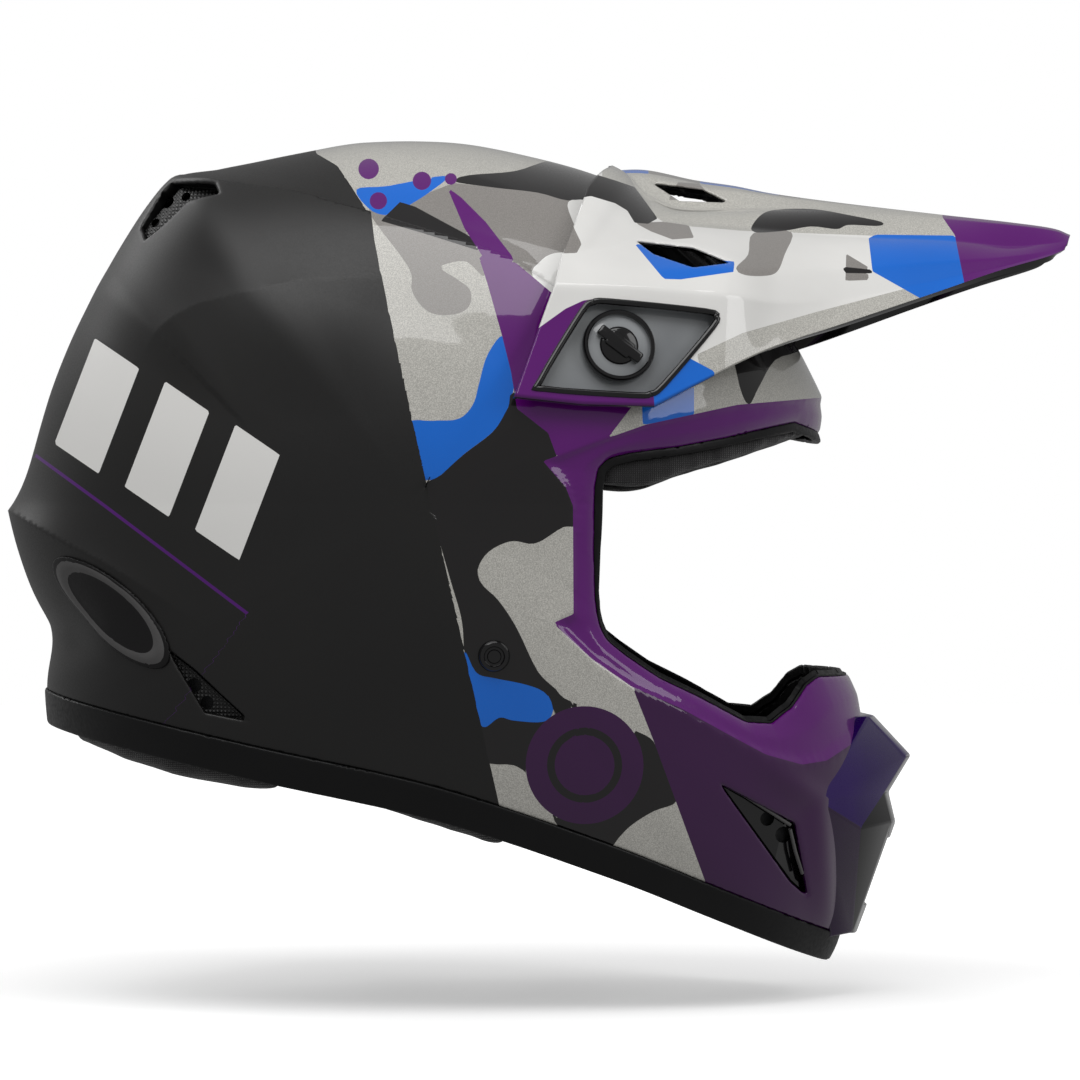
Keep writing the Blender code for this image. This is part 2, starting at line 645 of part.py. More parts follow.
# ---------------------------------------------------------------- chin strap
STRAP_PATH = [(-113.6, -18), (-113, -33), (-110.6, -48), (-107, -60), (-101, -76), (-94, -86.5), (-82, -91.5),
              (-60, -93.6), (-30, -94.6), (-12, -94.8)]
RING_X = STRAP_X + STRAP_LEAN * (STRAP_RIVET_Z - STRAP_LEVEL)


def lean_forwards(obj):
    """Leans a strap piece forwards as it runs down."""
    for vertex in obj.data.vertices:
        drop = STRAP_RIVET_Z - max(vertex.co.z / MM, STRAP_LEVEL)
        vertex.co.x += STRAP_LEAN * drop * MM
    return obj


def strap_strip(name, thickness, half, group, finish=None):
    """The right half of the chin strap, or a channel for it."""
    path = smooth_line(STRAP_PATH, 3)
    return lean_forwards(strip(name, path, thickness, STRAP_X - half, STRAP_X + half, group, finish))


def make_strap(group, webbing, padding, steel):
    """Both halves of the chin strap with their end loops, comfort sleeves, anchor plates and rivets."""
    half = STRAP_WIDTH / 2
    path = smooth_line(STRAP_PATH, 3)
    strap = strap_strip("chin_strap_R", STRAP_THICKNESS, half, group, webbing)
    middle = sum(RING_HEIGHTS.values()) / 2
    loop = box("strap_loop", (RING_X - half, -RING_REACH - 5, middle - 7),
               (RING_X + half, -RING_REACH + 5, middle + 7),
               CUTTERS)
    apply_modifiers(bevel(loop, 2.4, 2))
    boolean(strap, loop, "UNION")
    eye = box("strap_eye", (0, -RING_REACH - 2.6, middle - 5), (100, -RING_REACH + 2.6, middle + 5), CUTTERS)
    hole = rivet_rod("strap_hole", 10, -14, 2.6 + GAP, CUTTERS)
    cut(strap, eye, hole)
    mirrored(strap, "chin_strap_L", group)
    sleeve_path = [(y, z + STRAP_THICKNESS / 2 + GAP + 2.5) for y, z in path if -80 < y < -24]
    sleeve = strip("strap_sleeve_R", sleeve_path, 5, RING_X - half - 2, RING_X + half + 2, group, padding)
    apply_modifiers(bevel(sleeve, 1.6, 2))
    mirrored(sleeve, "strap_sleeve_L", group)
    plate = rivet_rod("strap_anchor_R", -10.8, -12.2, 9, group, steel)
    cut(plate, rivet_rod("anchor_hole", 10, -20, 2.6 + GAP, CUTTERS))
    mirrored(plate, "strap_anchor_L", group)
    centre, axis = on_shell(STRAP_X, STRAP_RIVET_Z), surface_normal(STRAP_X, STRAP_RIVET_Z)
    profile = [(0, 2.2), (3.4, 2), (5.2, 1.1), (5.4, GAP), (2.6, GAP), (2.6, -12.6), (4.6, -12.6),
               (4.6, -14.4),
               (0, -14.4)]
    rivet = turned("strap_rivet_R", profile, centre, axis, group, steel)
    mirrored(rivet, "strap_rivet_L", group)


def ring_path(name, height, group, finish):
    """A wire ring: a rounded oblong in a level plane."""
    curve = bpy.data.curves.new(name, "CURVE")
    curve.dimensions = "3D"
    curve.bevel_depth = RING_WIRE * MM
    curve.bevel_resolution = 2
    reach, side, corner = RING_REACH, STRAP_WIDTH / 2 + 2.6, 4.0
    points = []
    for cx, cy, start in ((side - corner, reach - corner, 0), (corner - side, reach - corner, 90),
                          (corner - side, corner - reach, 180), (side - corner, corner - reach, 270)):
        for turn in (0, 30, 60, 90):
            angle = math.radians(start + turn)
            points.append((RING_X + cx + corner * math.cos(angle), cy + corner * math.sin(angle), height))
    line = curve.splines.new("POLY")
    line.points.add(len(points) - 1)
    for point, (x, y, z) in zip(line.points, points):
        point.co = (x * MM, y * MM, z * MM, 1)
    line.use_cyclic_u = True
    ring = solid_from_curve(bpy.data.objects.new(name, curve), group, finish)
    axis = Vector((RING_X, reach, height)) * MM
    ring.data.transform(Matrix.Translation(-axis))
    ring.location = axis
    return ring


def make_strap_snap(group, finish):
    """The press stud that parks the strap's free end."""
    rod("strap_snap", (RING_X, -44, -96.1), (RING_X, -44, -98.6), 6, group, finish)


# ---------------------------------------------------------------- peak
def clear_of_shell(point, room):
    """A point moved away from the head's centre until it stands `room` outside the shell's face."""
    centre = Vector((SECTION_CENTRE[0], 0, SECTION_CENTRE[1]))
    ray = Vector(point) - centre
    angle = math.atan2(ray.z, ray.x)
    power = float(squareness_at(angle))
    reach = math.hypot(ray.x, ray.z) / float(radius_at(angle))
    inside = (reach ** power + (abs(ray.y) / HALF_WIDTH) ** power) ** (1 / power)
    wanted = ray.length / inside + room
    if ray.length < wanted:
        ray *= wanted / ray.length
    return tuple(centre + ray)


def peak_points():
    """The crease lines of the peak's right half."""
    rows = []
    for number, line in enumerate(PEAK_LINES):
        row = []
        for x, half, z in line:
            if half is None:
                half = pod_half_width(x, z) + POD_DEPTH - (SHOULDER_DROP if number == 4 else 0)
            row.append(clear_of_shell((x, -half, z), PEAK_CLEARANCE))
        rows.append(row)
    return rows


def make_peak(group, finish):
    """The peak with its raised centre blade, side scoops and pod openings."""
    rows = peak_points()
    width = len(rows[0])
    points = [p for row in rows for p in row]
    faces = [(i * width + j, (i + 1) * width + j, (i + 1) * width + j + 1, i * width + j + 1)
             for i in range(len(rows) - 1) for j in range(width - 1)]
    peak = mesh_object("peak", points, faces, group, finish)
    mirror = peak.modifiers.new("mirror", "MIRROR")
    mirror.use_axis = (False, True, False)
    mirror.merge_threshold = 0.0001
    apply_modifiers(peak)
    work = bmesh.new()
    work.from_mesh(peak.data)
    bmesh.ops.recalc_face_normals(work, faces=work.faces)
    if sum(face.normal.z * face.calc_area() for face in work.faces) < 0:
        bmesh.ops.reverse_faces(work, faces=work.faces)
    work.to_mesh(peak.data)
    work.free()
    wall = peak.modifiers.new("wall", "SOLIDIFY")
    wall.thickness = PEAK_THICKNESS * MM
    wall.offset = -1
    apply_modifiers(peak)
    outward(peak)
    openings = two_sides("pod_opening", POD, CUTTERS, 88, 160) + two_sides("scoop", SCOOP, CUTTERS, 45, 120)
    openings.append(side_prism("bridge_window", BRIDGE_WINDOW, CUTTERS, -60, 60))
    cut(peak, *openings)
    hinge = Vector((PIVOT[0], 0, PIVOT[1])) * MM
    peak.data.transform(Matrix.Translation(-hinge))
    peak.location = hinge
    return peak


def slope_with_pod(obj):
    """Slants a flat piece of the right side to lie along the pod's floor."""
    for vertex in obj.data.vertices:
        vertex.co.y += (POD_SLOPE[0] * (vertex.co.x - POD_CORNER[0] * MM)
                        + POD_SLOPE[1] * (vertex.co.z - POD_CORNER[1] * MM))
    return obj


def make_pod_plate(group, finish):
    """The tray that closes each pod's opening from behind."""
    rim = POD_DEPTH - PEAK_THICKNESS - GAP
    tray = side_prism("pod_plate_R", grown(POD, 2.2), group, -POD_FLOOR - rim, -POD_FLOOR + POD_PLATE, finish)
    slope_with_pod(tray)
    pocket = slope_with_pod(side_prism("pod_pocket", grown(POD, -0.4), CUTTERS, -POD_FLOOR - 20, -POD_FLOOR))
    cut(tray, pocket, rod("pod_hole", pivot_point(20), pivot_point(-20), SCREW_RADIUS + 0.6, CUTTERS))
    mirrored(tray, "pod_plate_L", group)


def make_peak_screws(group, head_finish, steel):
    """Each side's hand screw, its washer and the nut inside the shell."""
    axis = pod_axis()
    head = SCREW_HEAD_RADIUS
    washer = turned("peak_washer_R",
                    [(SCREW_RADIUS + GAP, 1.2), (7, 1.2), (7, GAP), (SCREW_RADIUS + GAP, GAP),
                                      (SCREW_RADIUS + GAP, 1.2)], pivot_point(), axis, group, steel)
    mirrored(washer, "peak_washer_L", group)
    profile = [(0, 4.4), (head - 1.2, 4.4), (head, 3.4), (head, 1.6), (SCREW_RADIUS, 1.6),
               (SCREW_RADIUS, -15), (0, -15)]
    screw = turned("peak_screw_R", profile, pivot_point(), axis, group, head_finish)
    grip = box("screw_grip", (-10, -1.6, 4.2), (10, 1.6, 6.4), CUTTERS)
    grip.data.transform(axis.to_track_quat("Z", "Y").to_matrix().to_4x4())
    grip.data.transform(Matrix.Translation(pivot_point() * MM))
    boolean(screw, grip, "UNION")
    mirrored(screw, "peak_screw_L", group)
    bore = SCREW_RADIUS + 0.2
    nut = turned("peak_nut_R", [(bore, -11.2), (7.5, -11.2), (7.5, -16), (bore, -16), (bore, -11.2)],
                 pivot_point(),
                 axis, group, steel, 16)
    mirrored(nut, "peak_nut_L", group)


# ---------------------------------------------------------------- mouth vent
def make_mask(group, finish):
    """The faceted nose of the chin bar, round the mouth vent."""
    mask = side_prism("mouth_vent_frame", MASK_SIDE, group, -60, 60, finish)
    keep_inside(mask, prism("mask_plan", MASK_PLAN, "plan", -160, 0, CUTTERS))
    return cut(mask, inner_volume("mask_seat", -0.4, CUTTERS), box("mask_hole", *MOUTH, CUTTERS))


def make_mouth_grille(group, finish):
    """The slatted grille set into the mouth vent."""
    low, high = MOUTH
    grille = skin("mouth_grille", -3.5, -1, group, finish)
    keep_inside(grille,
                box("grille_block", (130, low[1] + GAP, low[2] + GAP), (200, high[1] - GAP, high[2] - GAP),
                            CUTTERS))
    slots = [box("grille_slot", (120, side * 10.5 - 7.5, z), (200, side * 10.5 + 7.5, z + 3), CUTTERS)
             for side in (-1, 1) for z in (-112, -106, -100, -94)]
    return cut(grille, *slots)


CUTTERS = collection("cutters", shown=False)


def main():
    clear_scene()
    parts = collection("motocross_helmet")
    paint = material("shell_paint", (0.05, 0.05, 0.055), 0.35)
    peak_paint = material("peak_paint", (0.5, 0.5, 0.5), 0.25)
    rubber = material("edge_rubber", (0.02, 0.02, 0.02), 0.7)
    foam = material("foam", (0.06, 0.06, 0.06), 0.9)
    fabric = material("liner_fabric", (0.03, 0.03, 0.03), 0.95)
    webbing = material("strap_webbing", (0.02, 0.02, 0.02), 0.85)
    steel = material("steel", (0.6, 0.6, 0.62), 0.3, 1.0)
    plastic = material("black_plastic", (0.02, 0.02, 0.02), 0.4)
    pod_grey = material("pod_plastic", (0.1, 0.11, 0.11), 0.2)
    badge_paint = material("badge_plate", (0.05, 0.05, 0.05), 0.4)
    make_shell(parts, paint)
    make_rim_trim(parts, rubber)
    make_gasket(parts, rubber)
    make_grille("chin_vent_grille", CHIN_VENT, [(118, -92, 2.6), (124, -98, 3), (129, -107, 2.6)], parts,
                plastic)
    make_grille("rear_vent_grille", REAR_VENT, [(-84, -43.5, 2.6), (-79.5, -49.5, 2.4)], parts, plastic)
    make_grille("top_vent_grille", TOP_VENT, [(-98, 130, 2.6), (-90.5, 131, 1.8), (-102, 122, 1.8)],
                parts, plastic)
    make_badge(parts, badge_paint)
    make_crown_foam(parts, foam)
    make_crown_pad(parts, fabric)
    make_brow_pad(parts, fabric)
    make_chin_foam(parts, foam)
    make_chin_filter(parts, foam)
    make_cheeks(parts, foam, fabric)
    make_neck_roll(parts, fabric)
    make_cheek_snaps(parts, plastic)
    make_strap(parts, webbing, fabric, steel)
    for name, height in RING_HEIGHTS.items():
        ring_path(name, height, parts, steel)
    make_strap_snap(parts, plastic)
    make_peak(parts, peak_paint)
    make_pod_plate(parts, pod_grey)
    make_peak_screws(parts, plastic, steel)
    make_mask(parts, paint)
    make_mouth_grille(parts, plastic)
    for helper in CUTTERS.objects:
        helper.hide_render = True
        helper.display_type = "WIRE"


main()
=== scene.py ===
"""Looks of a motocross helmet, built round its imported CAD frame.

Working sizes are millimetres; MM turns them into metres.
"""

import math

import bmesh
import bpy
import numpy as np
from mathutils import Matrix, Vector


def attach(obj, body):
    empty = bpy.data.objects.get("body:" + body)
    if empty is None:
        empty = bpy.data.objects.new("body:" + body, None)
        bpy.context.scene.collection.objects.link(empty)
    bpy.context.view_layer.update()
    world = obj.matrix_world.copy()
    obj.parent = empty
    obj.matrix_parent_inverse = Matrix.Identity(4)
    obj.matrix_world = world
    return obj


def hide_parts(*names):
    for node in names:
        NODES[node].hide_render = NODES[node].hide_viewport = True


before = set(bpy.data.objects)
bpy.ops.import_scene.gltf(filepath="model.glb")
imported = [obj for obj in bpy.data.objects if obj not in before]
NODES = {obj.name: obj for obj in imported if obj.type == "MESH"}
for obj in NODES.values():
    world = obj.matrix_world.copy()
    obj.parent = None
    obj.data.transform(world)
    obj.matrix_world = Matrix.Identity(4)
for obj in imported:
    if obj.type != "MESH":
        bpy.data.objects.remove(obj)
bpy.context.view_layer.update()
MM = 0.001
ROOT = "helmet"

# ---------------------------------------------------------------- form shared with the CAD
HALF_WIDTH = 124.0
CENTRE = np.array((-5.0, 20.0))
OUTLINE = [
    (152, 0), (149, 30), (142.5, 54), (137, 68), (128, 84), (115, 99), (101, 110.5), (90, 118.5), (80, 125.5),
    (71.5, 132), (66, 137.6), (58, 141.6), (40, 147), (13, 152.8), (-8.5, 154.3), (-30, 153.6), (-46, 151.7),
    (-67, 148.3), (-88, 144.6), (-99, 140), (-107, 131), (-116, 117), (-128, 96), (-137, 77), (-144, 57),
    (-148, 36), (-149, 10), (-147, -15), (-145, -35), (-144, -50), (-142, -66), (-137, -84), (-120, -110),
    (-85, -136), (-40, -153), (5, -163), (60, -171), (105, -170), (133, -158), (146, -137), (153, -115),
    (157, -92), (158, -70), (156, -50), (154, -30), (152.5, -12),
]
SQUARENESS = np.array([
    (-180, 2.45), (-150, 2.6), (-110, 2.6), (-80, 2.4), (-55, 2.05), (-30, 1.95), (0, 2.1), (22, 2.5),
    (40, 2.6), (58, 2.45), (80, 2.25), (120, 2.3), (150, 2.4), (180, 2.45)])
RIM = [(-190, -37), (-144, -47), (-66, -64.5), (1.5, -79.5), (60, -99.5), (97, -115), (151, -139),
       (190, -156)]
EYE_PORT = [(200, 36), (133, 50.5), (106, 43.5), (89, 40), (71, 37.5), (62.5, 35.5), (59, 32), (57.8, 25),
            (57.5, 4), (58, -14), (59.5, -22), (62, -27.5), (69, -33), (81, -41), (96, -48), (113.5, -57.2),
            (123, -57.8), (131, -52.5), (137, -44.5), (142, -41.5), (200, -41.5)]
CHIN_VENT = [(101, -79), (128.5, -94), (133.5, -121), (127, -115)]
REAR_VENT = [(-93.5, -31), (-80.5, -53), (-64.5, -56), (-84, -38)]
TOP_VENT = [(-99, 137.5), (-79, 133), (-77, 129), (-88.5, 127.5), (-97, 121), (-105, 115.5), (-107.5, 121)]
MOUTH_HOLE = [(-21, -116), (21, -116), (21, -89), (-21, -89)]
BADGE_CENTRE = (-112.0, -18.0)
BADGE_HALVES = (26.0, 10.4)
PIVOT = (64.0, 74.5)
POD_FLOOR, POD_DEPTH, SHOULDER_DROP = 121.5, 4.5, 6.0
POD_CORNER, POD_SLOPE = (35.0, 60.0), (0.2, 0.25)
POD = [(35.5, 60), (53, 89.5), (58, 91), (98, 87.2), (99.3, 84), (78, 59), (73, 57.5)]
SCOOP = [(72.8, 118.4), (93.7, 116), (107.4, 110.4), (93.7, 108.7), (79.2, 113.6)]  # seen from the side
BRIDGE_WINDOW = [(78, 138.5), (88, 131.5), (106, 131), (96, 136.5)]
PEAK_CLEARANCE = 5.5
RIM_EDGING = 11.4            # height of the rubber round the rim
PEAK_LINES = [
    [(61.4, 0, 143.9), (76, 0, 144.3), (94, 0, 140.6), (109, 0, 138.4), (124, 0, 135.4), (150, 0, 131.8),
     (185, 0, 127.6), (210, 0, 124.9), (226, 0, 122.8), (233, 0, 120.4)],
    [(62.5, 9, 143), (76, 17, 140.6), (94, 20, 136.6), (109, 19, 135), (124, 16.5, 133.3), (150, 14, 130.6),
     (185, 11, 127), (210, 9, 124.4), (226, 6.5, 122.3), (232.8, 4, 120)],
    [(60, 30, 138), (76, 31, 133), (88, 31, 128.3), (104, 29, 127.9), (122, 27, 128.2), (150, 24, 127.6),
     (185, 18, 125.2), (210, 14, 123.2), (225.5, 10, 121.4), (232.3, 7.5, 119.3)],
    [(52, 66, 130), (69, 63, 124), (82, 60, 121.8), (98, 55, 121), (118, 50, 119.4), (150, 41, 117.4),
     (185, 29.5, 116.6), (208, 21.5, 114.9), (224.5, 15.5, 116.3), (231.5, 11, 117.7)],
    [(44, None, 105), (59, None, 102.5), (73, None, 102.4), (103, None, 103), (122, 80, 103.5),
     (148, 63, 104.4), (182, 44, 108), (205, 32, 110.2), (223, 20.5, 113.2), (230.6, 13.5, 116)],
    [(42, None, 96.5), (58, None, 96.5), (72, None, 96), (103, None, 93.5), (122, 90, 91.5), (147, 70, 94),
     (180, 49, 101), (204, 34.5, 106.6), (222.5, 22.3, 111.7), (230, 14.6, 114.8)],
    [(28, None, 57), (52, None, 54.5), (77, None, 54), (101, None, 66.5), (120, 98, 75.5), (144, 79, 84),
     (178, 54, 96), (203, 37, 105), (222, 24, 110.8), (229.6, 15.5, 113.9)],
]
BAND_STEPS = (12, 10, 20, 24, 8, 28)       # rows of faces between neighbouring crease lines
BAND_CROWN = (0.6, 0.5, 1.5, 1.2, 0.2, 0.0)  # how far each band bulges, mm

# ---------------------------------------------------------------- graphics, as seen from far out at the side
VIEW_CENTRE = (37.0, 7.4)
VIEW_DISTANCE = 2000.0
MATTE_LINE = [(-24.1, 116.2), (-8.5, 43.7), (4.8, -14.8), (15.2, -61.1), (21.5, -88.8), (32, -140),
              (-260, -140), (-260, 210), (-60, 210), (-45.9, 151.3), (-38.1, 146.9), (-33.3, 140.2),
              (-28.9, 133.6), (-25.5, 127.7)]
FLANGE = [(38.1, 36.6), (75.9, 50), (109.9, 57.4), (138.6, 59.9), (150, 60.5), (215, 58), (215, -50),
          (164, -57), (152.1, -68.5), (143.2, -74.4), (133.9, -75.9), (120.6, -72.2), (107.3, -65.1),
          (89.2, -55.1), (71.4, -47.2), (56, -36.5), (41.8, -23.3), (49.4, -20), (49.2, 20), (46.5, 27)]
PURPLE_CHIN = [(71.4, -47.5), (79.2, -67.3), (98.1, -118.8), (103, -150), (240, -200), (240, -20),
               (150, -20), (110, -40), (80, -35)]
PURPLE_BAND = [(14.4, 112), (17.6, 102.1), (23.1, 82.5), (26.3, 69.6), (28.5, 56), (40, 47), (44, 36),
               (62, 45), (75, 62), (60, 90), (47.4, 93.5), (40, 100), (34.4, 104.7), (28, 110)]
GREY_HOOK = [(-27, 131), (-11.7, 108.5), (-10.5, 99.9), (-6.3, 93.4), (-0.8, 90.7), (6.8, 91.2),
             (11.1, 94.4), (11.1, 99.9), (6.8, 103.6), (0.3, 108), (3.6, 109.9), (10, 110.3), (16.5, 105),
             (14, 118), (-5, 125)]
BLUE_SIDE = [(24, 83), (17.6, 76), (14.4, 65.1), (12.2, 57.5), (6.8, 52.2), (-3, 51.5), (-12, 50), (-9, 32),
             (-4.1, 29.6), (0.3, 31.4), (8.9, 39.2), (19.8, 47.7), (25.2, 56.4), (27.5, 67.3)]
BLACK_SIDE = [(-6, 26), (0.3, 31.4), (8.9, 39.2), (19.8, 47.7), (25.2, 56.4), (29, 62), (56, 50), (56, 14),
              (46.2, 12.4), (35.4, 6.1), (26.5, 7), (18, 3), (14, -3.5), (15.5, -9), (21.5, -14.8),
              (28.3, -25), (36.3, -41.4), (44, -49), (44, -54), (31.7, -50), (20, -46), (11.3, -43),
              (9, -34), (8, -22), (4, -8), (0, 6)]
BLACK_LOWER = [(40, -50), (52.1, -53.9), (62.2, -56.6), (71, -62.5), (79.2, -67.3), (84, -80), (88, -89),
               (79, -93), (71, -98), (66, -103), (60, -110), (52, -103), (44, -99), (31.1, -78),
               (18.7, -75.4), (12, -72), (13, -58), (26, -58)]
BLUE_LOWER = [(9, -33), (13.5, -41.5), (20, -43.5), (31.7, -45.9), (39, -49), (42, -55), (38.5, -60),
              (27.2, -59.6), (22, -58.5), (15.5, -62), (11, -50)]
TOP_BLUE = [(-31, 137), (-19.2, 138.4), (2.4, 142.2), (-4, 136), (-11.8, 131), (-16.5, 127.7), (-25, 129)]
TOP_BLACK = [(5, 140.1), (10.7, 142.4), (27.7, 143.9), (41.8, 148), (62, 148), (78, 138), (76, 124),
             (68, 128), (60.5, 133.6), (47.5, 133), (36.2, 135.9), (19.2, 137.9)]
WEDGE = [(2.6, 138), (9, 122.8), (16, 112), (29, 106), (26.5, 112.7), (16.9, 125.1), (7.8, 134.2)]
# Painted shade: the channel behind the upper ridge is painted black for the shadow in it.
RECESS_SHADE = [(-14.8, 132.5), (-9.3, 130.8), (9.6, 120.6), (28.1, 109.2), (27.8, 106), (14.7, 114.3),
          (-5.2, 120.6), (-22, 125.5)]
WHITE_FRONT = [(34.4, 104.7), (47.4, 92.9), (70, 96), (70, 128), (55, 133), (47.4, 132.5), (49.2, 125.1),
               (52.3, 119.5), (51, 114.3), (42, 113.5), (37, 110.4)]
BROW_BLUE = [(74, 80), (75, 50), (94, 53), (94, 80)]
BROW_BLACK = [(108, 90), (110, 68), (114, 57.5), (118, 64), (124, 74), (134, 79), (130, 95)]
DISC_CENTRE, DISC_RADIUS = (53.5, -75.9), 21.8
PURPLE_DOTS = [((-26.4, 144.7), 3.8), ((-22.8, 132.9), 3.2), ((-6.7, 140.3), 3.4), ((4, 141), 2.2)]
STRIPES = [(-127, 57), (-101, 41), (-75, 25)]   # centres of the bold slanted stripes
STRIPE_RISE, STRIPE_RUN = (7.5, 19.5), (8.2, -5.6)
FINE_LINE = [(-150, 39), (-124, 20), (-71, -20)]
PAINT_SHELL = [
    ("grey", [(-14, 130), (-4, 136), (5, 139.5), (19, 138), (36, 136), (48, 133.5), (80, 130), (80, 90),
              (34, 104), (28, 109), (9.6, 120.6)], False),
    ("grey", GREY_HOOK, True),
    ("blue", BLUE_SIDE, True),
    ("black", BLACK_SIDE, True),
    ("black", BLACK_LOWER, True),
    ("blue", BLUE_LOWER, True),
    ("white", WHITE_FRONT, True),
    ("blue", TOP_BLUE, True),
    ("black", TOP_BLACK, True),
    # painted shade: the channel behind the upper ridge, painted black
    ("black", RECESS_SHADE, False),
    ("purple", WEDGE, False),
    ("purple", PURPLE_BAND, False),
    ("blue", BROW_BLUE, False),
    ("black", BROW_BLACK, True),
    # painted shade: the shell under the peak, seen through its scoop, is painted black
    ("black", [(68, 124), (66, 106), (84, 98), (112, 98), (112, 122)], False),
]
PAINT_PEAK = [
    ("silver", [(84, 124.2), (112, 121.8), (160, 120), (194, 118), (190, 132), (130, 140), (60, 150),
                (60, 140)], False),
    ("silver", [(95, 76), (112, 84), (140, 92), (182, 103), (180, 90), (120, 70), (98, 66)], False),
    ("grey", [(72, 124.8), (84, 125.2), (92, 124), (94, 119.2), (86, 118.6), (78, 121.6)], False),
    ("grey", [(88, 140), (96, 139.5), (100, 135), (92, 133), (84, 133)], False),
    ("grey", [(116, 121), (130, 121.5), (127.5, 113), (125, 107), (121, 105.2), (113, 105.4), (109.5, 108),
              (114, 113)], True),
    ("black", [(115.5, 121.5), (118, 127), (124, 129.6), (138.4, 129.8), (152, 127.5), (163.8, 125),
               (162, 123.6), (151, 124), (147, 122.4), (137.3, 123.4), (127.2, 121.8)], True),
    ("grey", [(150.3, 113.3), (158.6, 108.3), (158.6, 103.6), (150, 103.3)], False),
    ("black", [(149.3, 108.5), (160, 107.4), (160, 106), (149.3, 106.2)], False),
    ("blue", [(158.6, 119), (161, 120.4), (195, 120), (199, 101), (179.2, 96), (160, 106.8)], False),
    ("purple", [(184, 140), (186, 126.7), (190.5, 120.2), (194.5, 100), (197, 90), (250, 90), (250, 140)],
     False),
    ("grey", [(30, 134), (47, 133.4), (49.5, 123), (52.4, 117), (50.6, 113.6), (30, 113)], False),
    ("black", [(30, 152), (54, 143.8), (65, 140.4), (72, 138), (76.5, 132), (80.5, 126.4), (77, 124.4),
               (72, 124.8), (69.3, 129.3), (64.8, 132), (55.8, 134.7), (46, 132.8), (30, 136)], False),
    ("purple", [(18, 50), (30, 55.5), (60, 53.5), (79.5, 55.6), (79.5, 66), (70, 66), (60, 97), (53, 96),
                (46.5, 93), (20, 74)], False),
    ("blue", [(78.8, 61.8), (91.8, 75), (101.5, 69.8), (101.5, 60), (79.5, 52)], False),
    ("blue", [(72, 117), (82.8, 104), (89, 103.8), (108.6, 106.6), (109, 110.4), (93.7, 112), (80, 116)],
     False),
]
PAINT_BRIDGE = [("blue", (55, 77)), ("grey", (77, 96)), ("blue", (96, 125)), ("black", (125, 133))]
UPPER_RIDGE = [(-103.6, 141.7), (-80.7, 138), (-52.2, 134.1), (-37, 129.5), (-27, 127.1), (-5.2, 120.6),
               (14.7, 114.3), (27.8, 109.2), (34.4, 104.3), (60, 88)]
SOFT_RIDGE = [(-112, 74), (-104.3, 83.6), (-96.2, 89.5), (-87.3, 94), (-73.3, 97.7), (-52.2, 101.8),
              (-33.3, 102.9), (-12, 103.4)]
REAR_LIP = [(-166, 27.5), (-158.4, 23.3), (-142.1, 13), (-121.4, -0.4), (-100.6, -15.2), (-84, -27)]
CHANNEL = 3.0                # width of the step down behind the upper ridge
INNER_BEVEL = 0.42           # share of the flange's width that its steep inner band takes
OUTER_BEVEL = 0.84           # share of its width at which it steps out to the shell
SHELL_WALL, PEAK_WALL = 3.6, 2.4
SHELL_MERGE, PEAK_MERGE = 0.3, 0.12   # points nearer than this become one
SHELL_EASE, PEAK_EASE = 1.1, 0.8      # rounding of the cut edges
FIELD_REACH = 9.0            # paint distances are cut off beyond this
INK_OVERLAP = 0.2            # each ink runs this far under the next
UNCUT = 30                   # a cutting field's value well away from its opening
CHIN_CREASE = [(107, -66), (139.5, -89.2), (143.9, -142.1), (144, -160)]


# ---------------------------------------------------------------- plain geometry
def smooth_line(points, per_span=6, closed=False):
    """Points along a smooth curve through the given ones."""
    pts = np.array(points, float)
    if closed:
        pts = np.vstack([pts[-1], pts, pts[:2]])
    else:
        pts = np.vstack([2 * pts[0] - pts[1], pts, 2 * pts[-1] - pts[-2]])
    found = []
    for before, start, end, after in zip(pts[:-3], pts[1:-2], pts[2:-1], pts[3:]):
        for t in np.arange(per_span) / per_span:
            found.append(0.5 * (2 * start + (end - before) * t
                                + (2 * before - 5 * start + 4 * end - after) * t ** 2
                                + (3 * start - before - 3 * end + after) * t ** 3))
    if not closed:
        found.append(pts[-2])
    return np.array(found)


def smoothstep(low, high, value):
    """0 below low, 1 above high, smooth between."""
    t = np.clip((value - low) / (high - low), 0, 1)
    return t * t * (3 - 2 * t)


def line_distance(points, line):
    """Distance to an open polyline, the side (positive on its left), and the share of its length there."""
    line = np.array(line, float)
    lengths = np.linalg.norm(np.diff(line, axis=0), axis=1)
    done = np.concatenate([[0], np.cumsum(lengths)]) / lengths.sum()
    best = np.full(len(points), 1e9)
    side = np.ones(len(points))
    along = np.zeros(len(points))
    for number, (a, b) in enumerate(zip(line[:-1], line[1:])):
        step = b - a
        offset = points - a
        t = np.clip(offset @ step / (step @ step), 0, 1)
        gap = offset - t[:, None] * step
        distance = np.hypot(gap[:, 0], gap[:, 1])
        nearer = distance < best
        best = np.where(nearer, distance, best)
        side = np.where(nearer, np.sign(step[0] * offset[:, 1] - step[1] * offset[:, 0]), side)
        along = np.where(nearer, done[number] + t * (done[number + 1] - done[number]), along)
    return best, side, along


